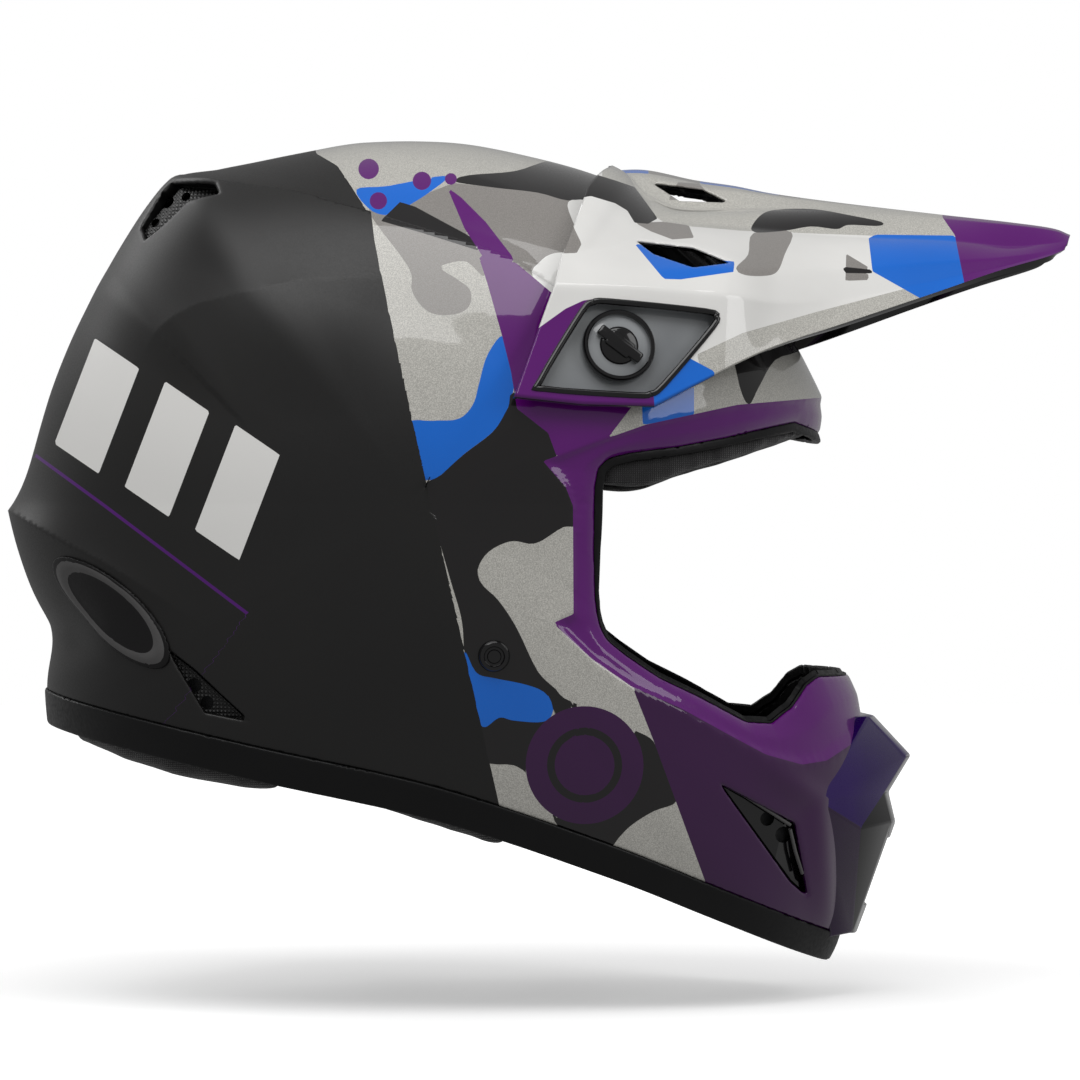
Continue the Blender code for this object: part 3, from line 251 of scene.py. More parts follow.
def inside_distance(points, outline, smooth=False, reach=60.0):
    """Distance to a closed outline, positive inside it and at most `reach` outside."""
    line = smooth_line(outline, 4, closed=True) if smooth else np.array(outline, float)
    found = np.full(len(points), -float(reach))
    near = ((points > line.min(axis=0) - reach) & (points < line.max(axis=0) + reach)).all(axis=1)
    p = points[near]
    best = np.full(len(p), 1e9)
    inside = np.zeros(len(p), bool)
    for a, b in zip(line, np.roll(line, -1, axis=0)):
        step = b - a
        offset = p - a
        t = np.clip(offset @ step / (step @ step), 0, 1)
        gap = offset - t[:, None] * step
        best = np.minimum(best, gap[:, 0] ** 2 + gap[:, 1] ** 2)
        crosses = (a[1] > p[:, 1]) != (b[1] > p[:, 1])
        height = step[1] if step[1] else 1.0
        inside ^= crosses & (p[:, 0] < a[0] + step[0] * (p[:, 1] - a[1]) / height)
    best = np.sqrt(best)
    found[near] = np.maximum(np.where(inside, best, -best), -reach)
    return found


def painted_place(points):
    """Where each point shows on the middle plane, seen from far out at its own side."""
    grow = 1 / (1 - np.abs(points[:, 1]) / VIEW_DISTANCE)
    return np.stack([VIEW_CENTRE[0] + (points[:, 0] - VIEW_CENTRE[0]) * grow,
                     VIEW_CENTRE[1] + (points[:, 2] - VIEW_CENTRE[1]) * grow], axis=1)


# ---------------------------------------------------------------- the shell's form
def outline_radii():
    """The outline as sorted angles and radii about its centre."""
    line = smooth_line(OUTLINE, 8, closed=True) - CENTRE
    angles = np.arctan2(line[:, 1], line[:, 0])
    order = np.argsort(angles)
    return angles[order], np.hypot(line[:, 0], line[:, 1])[order]


ANGLES, RADII = outline_radii()


def radius_at(angle):
    return np.interp(angle, ANGLES, RADII, period=2 * math.pi)


def squareness_at(angle):
    return np.interp(np.degrees(angle), SQUARENESS[:, 0], SQUARENESS[:, 1])


def shell_grid(around, across):
    """The right half's plain surface: [direction, step from the side to the middle plane]."""
    angle = np.linspace(-math.pi, math.pi, around, endpoint=False)[:, None]
    turn = np.linspace(0, math.pi / 2, across + 1)[None, :]
    power = squareness_at(angle)
    share = np.sin(turn) ** (2 / power)
    radius = radius_at(angle)
    x = CENTRE[0] + radius * share * np.cos(angle)
    z = CENTRE[1] + radius * share * np.sin(angle)
    y = -HALF_WIDTH * np.clip(np.cos(turn), 0, 1) ** (2 / power) * np.ones_like(x)
    y[:, -1] = 0
    return np.stack([x, y, z], axis=2)


def half_width_at(x, z):
    dx, dz = x - CENTRE[0], z - CENTRE[1]
    angle = np.arctan2(dz, dx)
    share = np.clip(np.hypot(dx, dz) / radius_at(angle), 0, 1)
    power = squareness_at(angle)
    return HALF_WIDTH * (1 - share ** power) ** (1 / power)


def side_normal(x, z):
    slope_x = (half_width_at(x + 1, z) - half_width_at(x - 1, z)) / 2
    slope_z = (half_width_at(x, z + 1) - half_width_at(x, z - 1)) / 2
    return Vector((-slope_x, -1, -slope_z)).normalized()


def port_distance(points):
    """Distance outside the eye port's edge, negative within the port."""
    return -inside_distance(points[:, [0, 2]], EYE_PORT)


def crease_side(place, line):
    """Signed distance to a crease line, positive above it, and the share of its length there."""
    distance, side, along = line_distance(place, line)
    return distance * side, along


def flange_share(points):
    """0 at the eye port's edge and 1 at the crease round its flange; more than 1 outside."""
    edge = np.clip(port_distance(points), 0, None)
    crease = inside_distance(painted_place(points), FLANGE)
    return np.where(crease > 0, edge / np.maximum(edge + crease, 0.01), 1 - crease)


def relief(points):
    """How far the moulded lines stand out of the plain shell, mm."""
    place = painted_place(points)
    # The upper ridge: a crest with a channel behind it.
    s, along = crease_side(place, UPPER_RIDGE)
    behind = np.interp(s, (0, CHANNEL, 8, 26), (2.8, -2.2, -2.2, 0))
    crest = np.where(s < 0, 2.8 * smoothstep(-34, 0, s), behind)
    rise = crest * smoothstep(0.0, 0.12, along)
    # The softer ridge across the rear of the side.
    s, along = crease_side(place, SOFT_RIDGE)
    fade = smoothstep(0.0, 0.2, along) * (1 - smoothstep(0.75, 1.0, along))
    rise += 3.0 * fade * np.where(s > 0, np.exp(-s / 14), 1 - smoothstep(0, 52, -s))
    # The lip that runs round the back.
    s, along = crease_side(place, REAR_LIP)
    height = 9.5 * (1 - smoothstep(0.2, 1.0, along))
    rise += height * np.where(s > 0, np.exp(-s / 11), np.clip(1 + s / 34, 0, 1))
    rise -= 3.5 * np.exp(-((place[:, 1] + 28) / 12) ** 2) * smoothstep(-120, -140, place[:, 0])
    # The flange that steps in to the eye port.
    share = flange_share(points)
    width = port_distance(points) + inside_distance(place, FLANGE)
    drop = np.interp(share, (0, INNER_BEVEL, OUTER_BEVEL, 1.0), (4.9, 2.2, 1.6, 0)) * smoothstep(0, 9, width)
    rise += 0.5 * np.where(share < 1, 1, np.exp(-(share - 1) / 5)) - np.where(share < 1, drop, 0)
    # The chin's moulded corner.
    distance, _, along = line_distance(place, CHIN_CREASE)
    return rise + 1.8 * np.exp(-(distance / 5) ** 2) * smoothstep(0.02, 0.3, along)


# ---------------------------------------------------------------- meshes
def new_object(name, points_mm, faces):
    """A mesh object in the helmet's frame."""
    mesh = bpy.data.meshes.new(name)
    mesh.from_pydata((np.asarray(points_mm) * MM).tolist(), [], faces)
    mesh.update()
    obj = bpy.data.objects.new(name, mesh)
    bpy.context.scene.collection.objects.link(obj)
    return obj


def apply_all(obj):
    """Replaces the mesh by what its modifiers make."""
    bpy.context.view_layer.update()
    graph = bpy.context.evaluated_depsgraph_get()
    made = bpy.data.meshes.new_from_object(obj.evaluated_get(graph))
    obj.modifiers.clear()
    obj.data = made


def ease_edges(obj, width, degrees):
    """Rounds the edges that turn by more than an angle."""
    ease = obj.modifiers.new("ease", "BEVEL")
    ease.width = width * MM
    ease.segments = 3
    ease.limit_method = "ANGLE"
    ease.angle_limit = math.radians(degrees)
    ease.harden_normals = True


def grid_faces(rows, columns, wrap=False):
    """Quads of a grid of points."""
    faces = []
    for row in range(rows if wrap else rows - 1):
        near, far = row * columns, (row + 1) % rows * columns
        faces += [(near + j, far + j, far + j + 1, near + j + 1) for j in range(columns - 1)]
    return faces


def ring_faces(rings, sides):
    """Quads between neighbouring rings of points."""
    faces = []
    for ring in range(rings - 1):
        near, far = ring * sides, (ring + 1) * sides
        faces += [(near + j, near + (j + 1) % sides, far + (j + 1) % sides, far + j) for j in range(sides)]
    return faces


def split_at(work, layer, level):
    """Puts a line of edges through a sheet where a layer's value is `level`."""
    near_zero = 0.02
    for edge in list(work.edges):
        a, b = edge.verts[0][layer] - level, edge.verts[1][layer] - level
        if a * b < 0 and min(abs(a), abs(b)) > near_zero:
            vert = bmesh.utils.edge_split(edge, edge.verts[0], a / (a - b))[1]
            vert[layer] = level
    line = [v for v in work.verts if abs(v[layer] - level) <= near_zero]
    bmesh.ops.connect_verts(work, verts=line)


def cut_sheet(points, faces, fields, splits, rounding, rise=None, merge=SHELL_MERGE):
    """A sheet as a bmesh, trimmed to where every field is positive and split along each of `splits`.

    `rise` gives each place's shift along its normal. Cut edges are eased off by `rounding`, and points
    nearer than `merge` become one.
    """
    work = bmesh.new()
    layers = [work.verts.layers.float.new(f"cut_{number}") for number in range(len(fields + splits))]
    plain = work.verts.layers.float_vector.new("cut_normal")
    verts = [work.verts.new(p) for p in points.tolist()]
    for layer, values in zip(layers, fields + splits):
        for vert, value in zip(verts, values.tolist()):
            vert[layer] = value
    for face in faces:
        work.faces.new([verts[i] for i in face])
    bmesh.ops.remove_doubles(work, verts=work.verts, dist=0.001)
    work.normal_update()
    for vert in work.verts:
        vert[plain] = vert.normal
    for layer in layers[:len(fields)]:
        split_at(work, layer, 0.0)
        out = [f for f in work.faces if sum(v[layer] for v in f.verts) < 0]
        bmesh.ops.delete(work, geom=out, context="FACES")
    for layer in layers[len(fields):]:
        split_at(work, layer, 0.0)
    if rounding:
        for layer in layers[:len(fields)]:
            for share in (0.35, 1.0):
                split_at(work, layer, rounding * share)
    bmesh.ops.remove_doubles(work, verts=work.verts, dist=merge)
    bmesh.ops.dissolve_degenerate(work, edges=work.edges, dist=merge / 6)
    if rise is not None:
        places = np.array([tuple(v.co) for v in work.verts])
        for vert, shift in zip(work.verts, rise(places).tolist()):
            normal = vert[plain].copy()
            if abs(vert.co.y) < 1e-4:
                normal.y = 0
            vert.co += normal.normalized() * shift
    if rounding:
        for vert in work.verts:
            edge = max(min(vert[layer] for layer in layers[:len(fields)]), 0.0)
            if edge < rounding:
                drop = rounding - math.sqrt(rounding ** 2 - (rounding - edge) ** 2)
                vert.co -= vert[plain].normalized() * drop
    return work, layers[len(fields):]


def finish_sheet(name, work, thickness, body, attributes, looks, mark=None):
    """Mirrors the trimmed half sheet, paints it, gives it a wall; `mark` numbers each face's material."""
    for face in work.faces:
        face.smooth = True
        face.material_index = mark(face) if mark else 0
    mesh = bpy.data.meshes.new(name)
    bmesh.ops.scale(work, vec=(MM, MM, MM), verts=work.verts)
    work.to_mesh(mesh)
    work.free()
    for look in looks:
        mesh.materials.append(LOOK[look])
    obj = bpy.data.objects.new(name, mesh)
    bpy.context.scene.collection.objects.link(obj)
    points = np.empty(len(mesh.vertices) * 3, np.float32)
    mesh.vertices.foreach_get("co", points)
    points = points.reshape(-1, 3) / MM
    for layer in [a.name for a in mesh.attributes if a.name.startswith("cut_")]:
        mesh.attributes.remove(mesh.attributes[layer])
    for label, values in attributes(points).items():
        mesh.attributes.new(label, "FLOAT", "POINT").data.foreach_set("value", values.astype(np.float32))
    mirror = obj.modifiers.new("mirror", "MIRROR")
    mirror.use_axis = (False, True, False)
    mirror.merge_threshold = 0.0002
    wall = obj.modifiers.new("wall", "SOLIDIFY")
    wall.thickness = thickness * MM
    wall.offset = -1
    wall.material_offset = len(looks)
    wall.material_offset_rim = len(looks)
    wall.use_quality_normals = True
    obj.modifiers.new("normals", "WEIGHTED_NORMAL")
    apply_all(obj)
    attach(obj, body)
    return obj


def compose(points, patches, base):
    """Signed distances of each colour's area after painting the patches in order over `base`."""
    fields = {base: np.full(len(points), FIELD_REACH)}
    for colour, distance in patches:
        for label in fields:
            fields[label] = np.minimum(fields[label], INK_OVERLAP - distance)
        before = fields.get(colour, np.full(len(points), -FIELD_REACH))
        fields[colour] = np.maximum(before, distance)
    return {label: np.clip(values, -FIELD_REACH, FIELD_REACH)
            for label, values in fields.items() if label != base}


# ---------------------------------------------------------------- shader nodes
class Nodes:
    """Short names for making one material's nodes."""

    def __init__(self, name):
        self.material = bpy.data.materials.new(name)
        self.material.use_nodes = True
        self.tree = self.material.node_tree
        self.shader = self.tree.nodes["Principled BSDF"]
        self.place = self.tree.nodes.new("ShaderNodeTexCoord").outputs["Object"]

    def link(self, source, target):
        self.tree.links.new(source, target)

    def set(self, **values):
        for label, value in values.items():
            self.shader.inputs[label.replace("_", " ").title().replace("Ior", "IOR")].default_value = value
        return self

    def attribute(self, name):
        node = self.tree.nodes.new("ShaderNodeAttribute")
        node.attribute_name = name
        return node.outputs["Fac"]

    def noise(self, scale, detail=2.0):
        node = self.tree.nodes.new("ShaderNodeTexNoise")
        node.inputs["Scale"].default_value = scale
        node.inputs["Detail"].default_value = detail
        self.link(self.place, node.inputs["Vector"])
        return node.outputs["Fac"]

    def cells(self, scale):
        node = self.tree.nodes.new("ShaderNodeTexVoronoi")
        node.inputs["Scale"].default_value = scale
        self.link(self.place, node.inputs["Vector"])
        return node.outputs["Distance"]

    def wave(self, scale, direction, distortion=0.0):
        node = self.tree.nodes.new("ShaderNodeTexWave")
        node.bands_direction = direction
        node.inputs["Scale"].default_value = scale
        node.inputs["Distortion"].default_value = distortion
        self.link(self.place, node.inputs["Vector"])
        return node.outputs["Fac"]

    def span(self, value, low, high, to_low=0.0, to_high=1.0):
        node = self.tree.nodes.new("ShaderNodeMapRange")
        for slot, number in zip(("From Min", "From Max", "To Min", "To Max"), (low, high, to_low, to_high)):
            node.inputs[slot].default_value = number
        self.link(value, node.inputs["Value"])
        return node.outputs["Result"]

    def sum(self, a, b, operation="ADD"):
        node = self.tree.nodes.new("ShaderNodeMath")
        node.operation = operation
        for slot, value in zip(node.inputs, (a, b)):
            if isinstance(value, (int, float)):
                slot.default_value = value
            else:
                self.link(value, slot)
        return node.outputs[0]

    def mix(self, share, a, b):
        node = self.tree.nodes.new("ShaderNodeMix")
        node.data_type = "RGBA"
        for slot, value in ((node.inputs["Factor"], share), (node.inputs[6], a), (node.inputs[7], b)):
            if isinstance(value, tuple):
                slot.default_value = (*value, 1.0)
            else:
                self.link(value, slot)
        return node.outputs[2]

    def bump(self, height, strength, distance):
        node = self.tree.nodes.new("ShaderNodeBump")
        node.inputs["Strength"].default_value = strength
        node.inputs["Distance"].default_value = distance
        self.link(height, node.inputs["Height"])
        self.link(node.outputs["Normal"], self.shader.inputs["Normal"])
        return self

    def base(self, value):
        self.link(value, self.shader.inputs["Base Color"])
        return self

    def rough(self, value):
        self.link(value, self.shader.inputs["Roughness"])
        return self


def linear(r, g, b):
    """A colour given in 0 to 255 screen values, as linear light."""
    return tuple(((c / 255 + 0.055) / 1.055) ** 2.4 if c > 10 else c / 255 / 12.92 for c in (r, g, b))


def scaled(colour, share):
    return tuple(c * share for c in colour)


INK = {
    "silver": linear(196, 194, 187), "grey": linear(146, 142, 138), "white": linear(243, 242, 239),
    "blue": linear(0, 112, 224), "purple": linear(98, 0, 118), "black": linear(18, 15, 16),
    "deep": linear(58, 0, 70), "line": linear(82, 6, 116),
}


def camouflage(name, inks, base):
    """Gloss paint: each ink shows where its attribute is positive, under a clear coat."""
    made = Nodes(name)
    flake = made.span(made.noise(2600, 1.0), 0.38, 0.66)
    cloud = made.span(made.noise(28, 3.0), 0.3, 0.7)

    def tone(ink):
        fleck = 0.20 if ink == "silver" else 0.10 if ink == "grey" else 0.0
        if fleck:
            return made.mix(flake, scaled(INK[ink], 1 - fleck), scaled(INK[ink], 1 + fleck))
        return made.mix(cloud, INK[ink], scaled(INK[ink], 0.93))

    colour = tone(base)
    for ink in inks:
        colour = made.mix(made.span(made.attribute(ink), -0.05, 0.05), colour, tone(ink))
    made.base(colour).rough(made.span(flake, 0, 1, 0.30, 0.40))
    made.set(coat_weight=1.0, coat_roughness=0.04, specular_ior_level=0.15)
    return made.bump(made.noise(160, 2.0), 0.02, 0.0004).material


def matte_paint():
    """The rear's satin black, with white stripes and a fine line."""
    made = Nodes("matte_black")
    grain = made.noise(1800, 2.0)
    colour = made.mix(made.span(made.noise(14, 3.0), 0.3, 0.7), linear(15, 14, 14), linear(20, 19, 18))
    off_line = made.sum(made.attribute("line"), 0, "ABSOLUTE")
    colour = made.mix(made.span(off_line, 0.65, 0.55), colour, INK["line"])
    colour = made.mix(made.span(made.attribute("stripe"), -0.05, 0.05), colour, INK["white"])
    made.base(colour).rough(made.span(grain, 0.3, 0.7, 0.40, 0.50)).bump(grain, 0.05, 0.0002)
    return made.material


def plastic(name, colour, low, high, grain=900, strength=0.08, coat=0.0, gleam=0.25):
    """Moulded plastic with a fine grain."""
    made = Nodes(name)
    texture = made.noise(grain, 3.0)
    made.base(made.mix(made.span(made.noise(40, 3.0), 0.3, 0.7), colour, scaled(colour, 0.75)))
    made.rough(made.span(texture, 0.3, 0.7, low, high)).bump(texture, strength, 0.0003)
    return made.set(coat_weight=coat, coat_roughness=0.05, specular_ior_level=gleam).material


def metal(name, colour, roughness):
    """Brushed metal."""
    made = Nodes(name)
    brushing = made.wave(700, "Z", 3.0)
    made.base(made.mix(made.noise(60), colour, scaled(colour, 0.8)))
    made.rough(made.span(brushing, 0, 1, roughness, roughness + 0.12)).bump(brushing, 0.04, 0.0002)
    return made.set(metallic=1.0).material


def cloth(name, colour, scale=420):
    """Brushed knit with a fine weave."""
    made = Nodes(name)
    weave = made.sum(made.wave(scale, "X", 1.2), made.wave(scale, "Z", 1.2), "MULTIPLY")
    fuzz = made.noise(2200, 2.0)
    made.base(made.mix(made.span(weave, 0, 1), colour, scaled(colour, 1.7)))
    made.rough(made.span(fuzz, 0.3, 0.7, 0.85, 1.0)).bump(made.sum(weave, fuzz), 0.5, 0.0006)
    return made.set(sheen_weight=0.35, sheen_roughness=0.5).material


def webbing_cloth():
    """Woven strap."""
    made = Nodes("webbing")
    ribs = made.sum(made.wave(520, "X"), made.wave(300, "Y"), "MULTIPLY")
    made.base(made.mix(ribs, linear(14, 14, 15), linear(36, 36, 38))).rough(made.span(ribs, 0, 1, 0.7, 0.9))
    return made.bump(ribs, 0.6, 0.0006).material


def bead_foam(name, colour):
    """Moulded foam of swollen beads."""
    made = Nodes(name)
    beads = made.cells(260)
    made.base(made.mix(made.span(beads, 0.0, 0.6), colour, scaled(colour, 0.6)))
    made.rough(made.span(beads, 0, 0.6, 0.65, 0.85))
    return made.bump(made.span(beads, 0.0, 0.7, 1.0, 0.0), 0.35, 0.0008).material


def smoked():
    """The pods' dark gloss."""
    made = Nodes("smoked_gloss")
    haze = made.span(made.noise(22, 2.0), 0.35, 0.65)
    made.base(made.mix(haze, linear(128, 131, 134), linear(160, 163, 165)))
    made.rough(made.span(made.noise(500), 0.3, 0.7, 0.10, 0.18))
    return made.set(coat_weight=1.0, coat_roughness=0.03).material


def mesh_grille():
    """Black plastic with a fine woven mesh."""
    made = Nodes("grille_mesh")
    mesh = made.sum(made.wave(230, "X"), made.wave(230, "Z"), "MULTIPLY")
    made.base(made.mix(made.span(mesh, 0.2, 0.5), linear(8, 8, 8), linear(70, 70, 70)))
    made.rough(made.span(mesh, 0, 1, 0.6, 0.3))
    return made.bump(mesh, 0.8, 0.001).material


LOOK = {
    "camo": camouflage("gloss_camouflage", ["grey", "blue", "black", "white", "purple", "deep"], "silver"),
    "peak_camo": camouflage("peak_camouflage", ["grey", "silver", "blue", "black", "purple"], "white"),
    "matte": matte_paint(),
    "inside": plastic("shell_inside", linear(18, 18, 18), 0.5, 0.7),
    "rubber": plastic("edge_rubber", linear(15, 15, 16), 0.35, 0.5, 700, 0.12),
    "black": plastic("black_plastic", linear(22, 22, 23), 0.3, 0.45),
    "shiny": plastic("gloss_black", linear(12, 11, 13), 0.12, 0.2, 700, 0.02, 1.0, 0.1),
    "mask": plastic("blue_purple_gloss", linear(40, 0, 92), 0.25, 0.35, 1500, 0.02, 1.0, 0.1),
    "mask_dark": plastic("deep_purple_gloss", linear(38, 0, 54), 0.25, 0.35, 1500, 0.02, 1.0, 0.1),
    "badge": plastic("badge_face", linear(24, 23, 24), 0.4, 0.5),
    "badge_ring": plastic("badge_ring", linear(96, 95, 95), 0.35, 0.5),
    "smoked": smoked(),
    "steel": metal("satin_steel", (0.55, 0.55, 0.57), 0.25),
    "knit": cloth("liner_knit", linear(30, 29, 30)),
    "strap": webbing_cloth(),
    "foam": bead_foam("bead_foam", linear(40, 40, 42)),
    "sponge": plastic("filter_sponge", linear(26, 26, 27), 0.9, 1.0, 1400, 0.9),
    "grille": mesh_grille(),
}


def wear(obj, look):
    """Gives an object its one material."""
    obj.data.materials.clear()
    obj.data.materials.append(LOOK[look])


# ---------------------------------------------------------------- shell
def shell_paint(points):
    """The shell's paint fields."""
    place = painted_place(points)
    patches = [(ink, inside_distance(place, outline, smooth, 12)) for ink, outline, smooth in PAINT_SHELL]
    for centre, radius in PURPLE_DOTS:
        patches.append(("purple", radius - np.hypot(*(place - centre).T)))
    patches.append(("deep", inside_distance(place, PURPLE_CHIN, False, 12)))
    patches.append(("purple", inside_distance(place, FLANGE, False, 12)))
    disc = np.hypot(*(place - DISC_CENTRE).T)
    patches.append(("deep", DISC_RADIUS - disc))
    patches.append(("black", 1.6 - np.abs(disc - 12.5)))
    fields = compose(points, patches, "silver")
    stripe = np.full(len(points), -FIELD_REACH)
    rise, run = np.array(STRIPE_RISE), np.array(STRIPE_RUN)
    for centre in STRIPES:
        corners = [centre + rise + run, centre + rise - run, centre - rise - run, centre - rise + run]
        stripe = np.maximum(stripe, inside_distance(place, corners, False, FIELD_REACH))
    across, along = crease_side(place, FINE_LINE)
    across = np.where((along > 0.001) & (along < 0.999), across, FIELD_REACH)
    return {**fields, "stripe": stripe, "line": np.clip(across, -FIELD_REACH, FIELD_REACH)}


AROUND, ACROSS = 620, 150
GRID = shell_grid(AROUND, ACROSS).reshape(-1, 3)
GRID_FACES = [face[::-1] for face in grid_faces(AROUND, ACROSS + 1, True)]


def crease_fields():
    """Fields whose zero lines follow the moulded creases."""
    place = painted_place(GRID)
    ridge, _ = crease_side(place, UPPER_RIDGE)
    soft, _ = crease_side(place, SOFT_RIDGE)
    lip, _ = crease_side(place, REAR_LIP)
    share = np.clip(flange_share(GRID), 0, 3)
    return [ridge, ridge - CHANNEL, soft, lip, inside_distance(place, FLANGE),
            (share - INNER_BEVEL) * 8, (share - OUTER_BEVEL) * 8]


def rim_height(x):
    line = smooth_line(RIM, 6)
    return np.interp(x, line[:, 0], line[:, 1])


def ease_flange(work):
    """Evens out the narrow faces of the eye port's flange, whose gloss would show them."""
    share = flange_share(np.array([tuple(v.co) for v in work.verts]))
    flange = [v for v, place in zip(work.verts, share) if place < 3 and not v.is_boundary]
    for _ in range(3):
        bmesh.ops.smooth_vert(work, verts=flange, factor=0.5,
                              use_axis_x=True, use_axis_y=True, use_axis_z=True)


def make_shell():
    """The painted outer shell, with its moulded lines and openings."""
    side = GRID[:, [0, 2]]
    outside = np.abs(GRID[:, 1]) > 35
    fields = [port_distance(GRID), (GRID[:, 2] - rim_height(GRID[:, 0])) * 0.96]
    for vent in (CHIN_VENT, REAR_VENT, TOP_VENT):
        fields.append(np.where(outside, -inside_distance(side, vent, False, UNCUT), UNCUT))
    front = GRID[:, 0] > 100
    fields.append(np.where(front, -inside_distance(GRID[:, [1, 2]], MOUTH_HOLE, False, UNCUT), UNCUT))
    matte = inside_distance(painted_place(GRID), MATTE_LINE, False, 400)
    work, splits = cut_sheet(GRID, GRID_FACES, fields, [matte] + crease_fields(), SHELL_EASE, relief)
    ease_flange(work)
    shell = finish_sheet("painted_shell", work, SHELL_WALL, ROOT, shell_paint, ["camo", "matte", "inside"],
                         lambda face: int(sum(v[splits[0]] for v in face.verts) > 0))
    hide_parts("outer_shell")


def make_band(name, offset, thickness, fields, look, node):
    """A strip that follows the shell's face, such as rubber edging."""
    work, _ = cut_sheet(GRID, GRID_FACES, fields, [], 0.9, lambda places: relief(places) + offset)
    band = finish_sheet(name, work, thickness, ROOT, lambda points: {}, [look])
    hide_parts(node)


def make_trims():
    """The rubber edging of the rim and of the eye port."""
    below = (rim_height(GRID[:, 0]) - GRID[:, 2]) * 0.96
    make_band("rim_edging", 0.8, 5.8, [below + 0.5, RIM_EDGING - below], "rubber", "rim_trim")
    port = port_distance(GRID)
    width = 0.8 + 2.3 * smoothstep(-30, 20, GRID[:, 2])
    make_band("port_edging", -0.4, 3.0, [0.4 - port, port + width], "rubber",
              "eye_port_gasket")


def oval_distance(place):
    """Distance inside the rear badge's edge."""
    turn = math.radians(-45)
    offset = place - np.array(BADGE_CENTRE)
    along = offset[:, 0] * math.cos(turn) + offset[:, 1] * math.sin(turn)
    up = -offset[:, 0] * math.sin(turn) + offset[:, 1] * math.cos(turn)
    size = np.hypot(along / BADGE_HALVES[0], up / BADGE_HALVES[1])
    return (1 - size) * BADGE_HALVES[1]


def badge_rise(places):
    """How far the badge and its ring stand out of the plain shell."""
    across = (oval_distance(places[:, [0, 2]]) - 1.9) / 0.8
    return relief(places) + 0.9 + 0.6 * np.exp(-across ** 2)


def make_badges():
    """The plain oval plates, each with a raised ring."""
    distance = oval_distance(GRID[:, [0, 2]])
    near = np.where((GRID[:, 0] < -60) & (GRID[:, 2] < 20), distance, -9)
    keep = near > -6
    numbers = np.cumsum(keep) - 1
    faces = [tuple(numbers[list(f)]) for f in GRID_FACES if keep[list(f)].all()]
    rings = [distance[keep] - 2.9, distance[keep] - 0.9]
    work, splits = cut_sheet(GRID[keep], faces, [near[keep]], rings, 0.5, badge_rise)
    badge = finish_sheet("oval_badges", work, 1.2, ROOT, lambda points: {}, ["badge", "badge_ring"],
                         lambda face: int(sum(v[splits[0]] for v in face.verts) < 0 < sum(
                             v[splits[1]] for v in face.verts)))
    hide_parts("rear_badge_R", "rear_badge_L")


# ---------------------------------------------------------------- peak
def pod_half_width(x, z):
    return POD_FLOOR - POD_SLOPE[0] * (x - POD_CORNER[0]) - POD_SLOPE[1] * (z - POD_CORNER[1])


def clear_of_shell(points, room):
    """Points moved away from the head's centre until they stand `room` outside the shell's face."""
    ray = points - (CENTRE[0], 0, CENTRE[1])
    angle = np.arctan2(ray[:, 2], ray[:, 0])
    power = squareness_at(angle)
    reach = np.hypot(ray[:, 0], ray[:, 2]) / radius_at(angle)
    inside = (reach ** power + (np.abs(ray[:, 1]) / HALF_WIDTH) ** power) ** (1 / power)
    length = np.linalg.norm(ray, axis=1)
    wanted = length / inside + room
    grow = np.maximum(wanted / length, 1)
    return ray * grow[:, None] + (CENTRE[0], 0, CENTRE[1])


def peak_surface(per_span=22):
    """The right half's grid of points, from the middle plane out and down."""
    lines = []
    for number, line in enumerate(PEAK_LINES):
        drop = SHOULDER_DROP if number == 4 else 0
        line = [(x, pod_half_width(x, z) + POD_DEPTH - drop if y is None else y, z) for x, y, z in line]
        curve = smooth_line(line, per_span)
        if number == 0:
            curve[:, 1] = 0
        if number >= 4:
            straight = np.array([np.interp(np.linspace(0, 9, len(curve)), range(10), c)
                                 for c in np.array(line).T]).T
            rear = smoothstep(3.2, 2.6, np.linspace(0, 9, len(curve)))[:, None]
            curve = curve * (1 - rear) + straight * rear
        lines.append(curve)
    rows = []
    for number, (a, b) in enumerate(zip(lines[:-1], lines[1:])):
        across = b - a
        normal = np.cross(np.gradient(a, axis=0), across)
        normal /= np.linalg.norm(normal, axis=1, keepdims=True)
        normal *= np.where((normal[:, 1] + normal[:, 2] > 0), 1, -1)[:, None]
        crown = BAND_CROWN[number] * np.minimum(np.linalg.norm(across, axis=1, keepdims=True) / 22, 1) ** 2
        for t in np.arange(BAND_STEPS[number]) / BAND_STEPS[number]:
            rows.append(a + t * across + normal * crown * 4 * t * (1 - t))
    rows.append(lines[-1])
    grid = np.array(rows)
    smooth = grid.copy()
    smooth[1:-1] = (grid[:-2] + 2 * grid[1:-1] + grid[2:]) / 4
    smooth[:, :, 1] = -smooth[:, :, 1]
    return smooth


def peak_paint(points):
    """The peak's paint fields."""
    place = painted_place(points)
    patches = [(ink, inside_distance(place, outline, smooth, 12)) for ink, outline, smooth in PAINT_PEAK]
    for ink, (low, high) in PAINT_BRIDGE:
        blade = np.minimum(np.minimum(points[:, 0] - low, high - points[:, 0]), 11 - np.abs(points[:, 1]))
        patches.append((ink, blade))
    return compose(points, patches, "white")


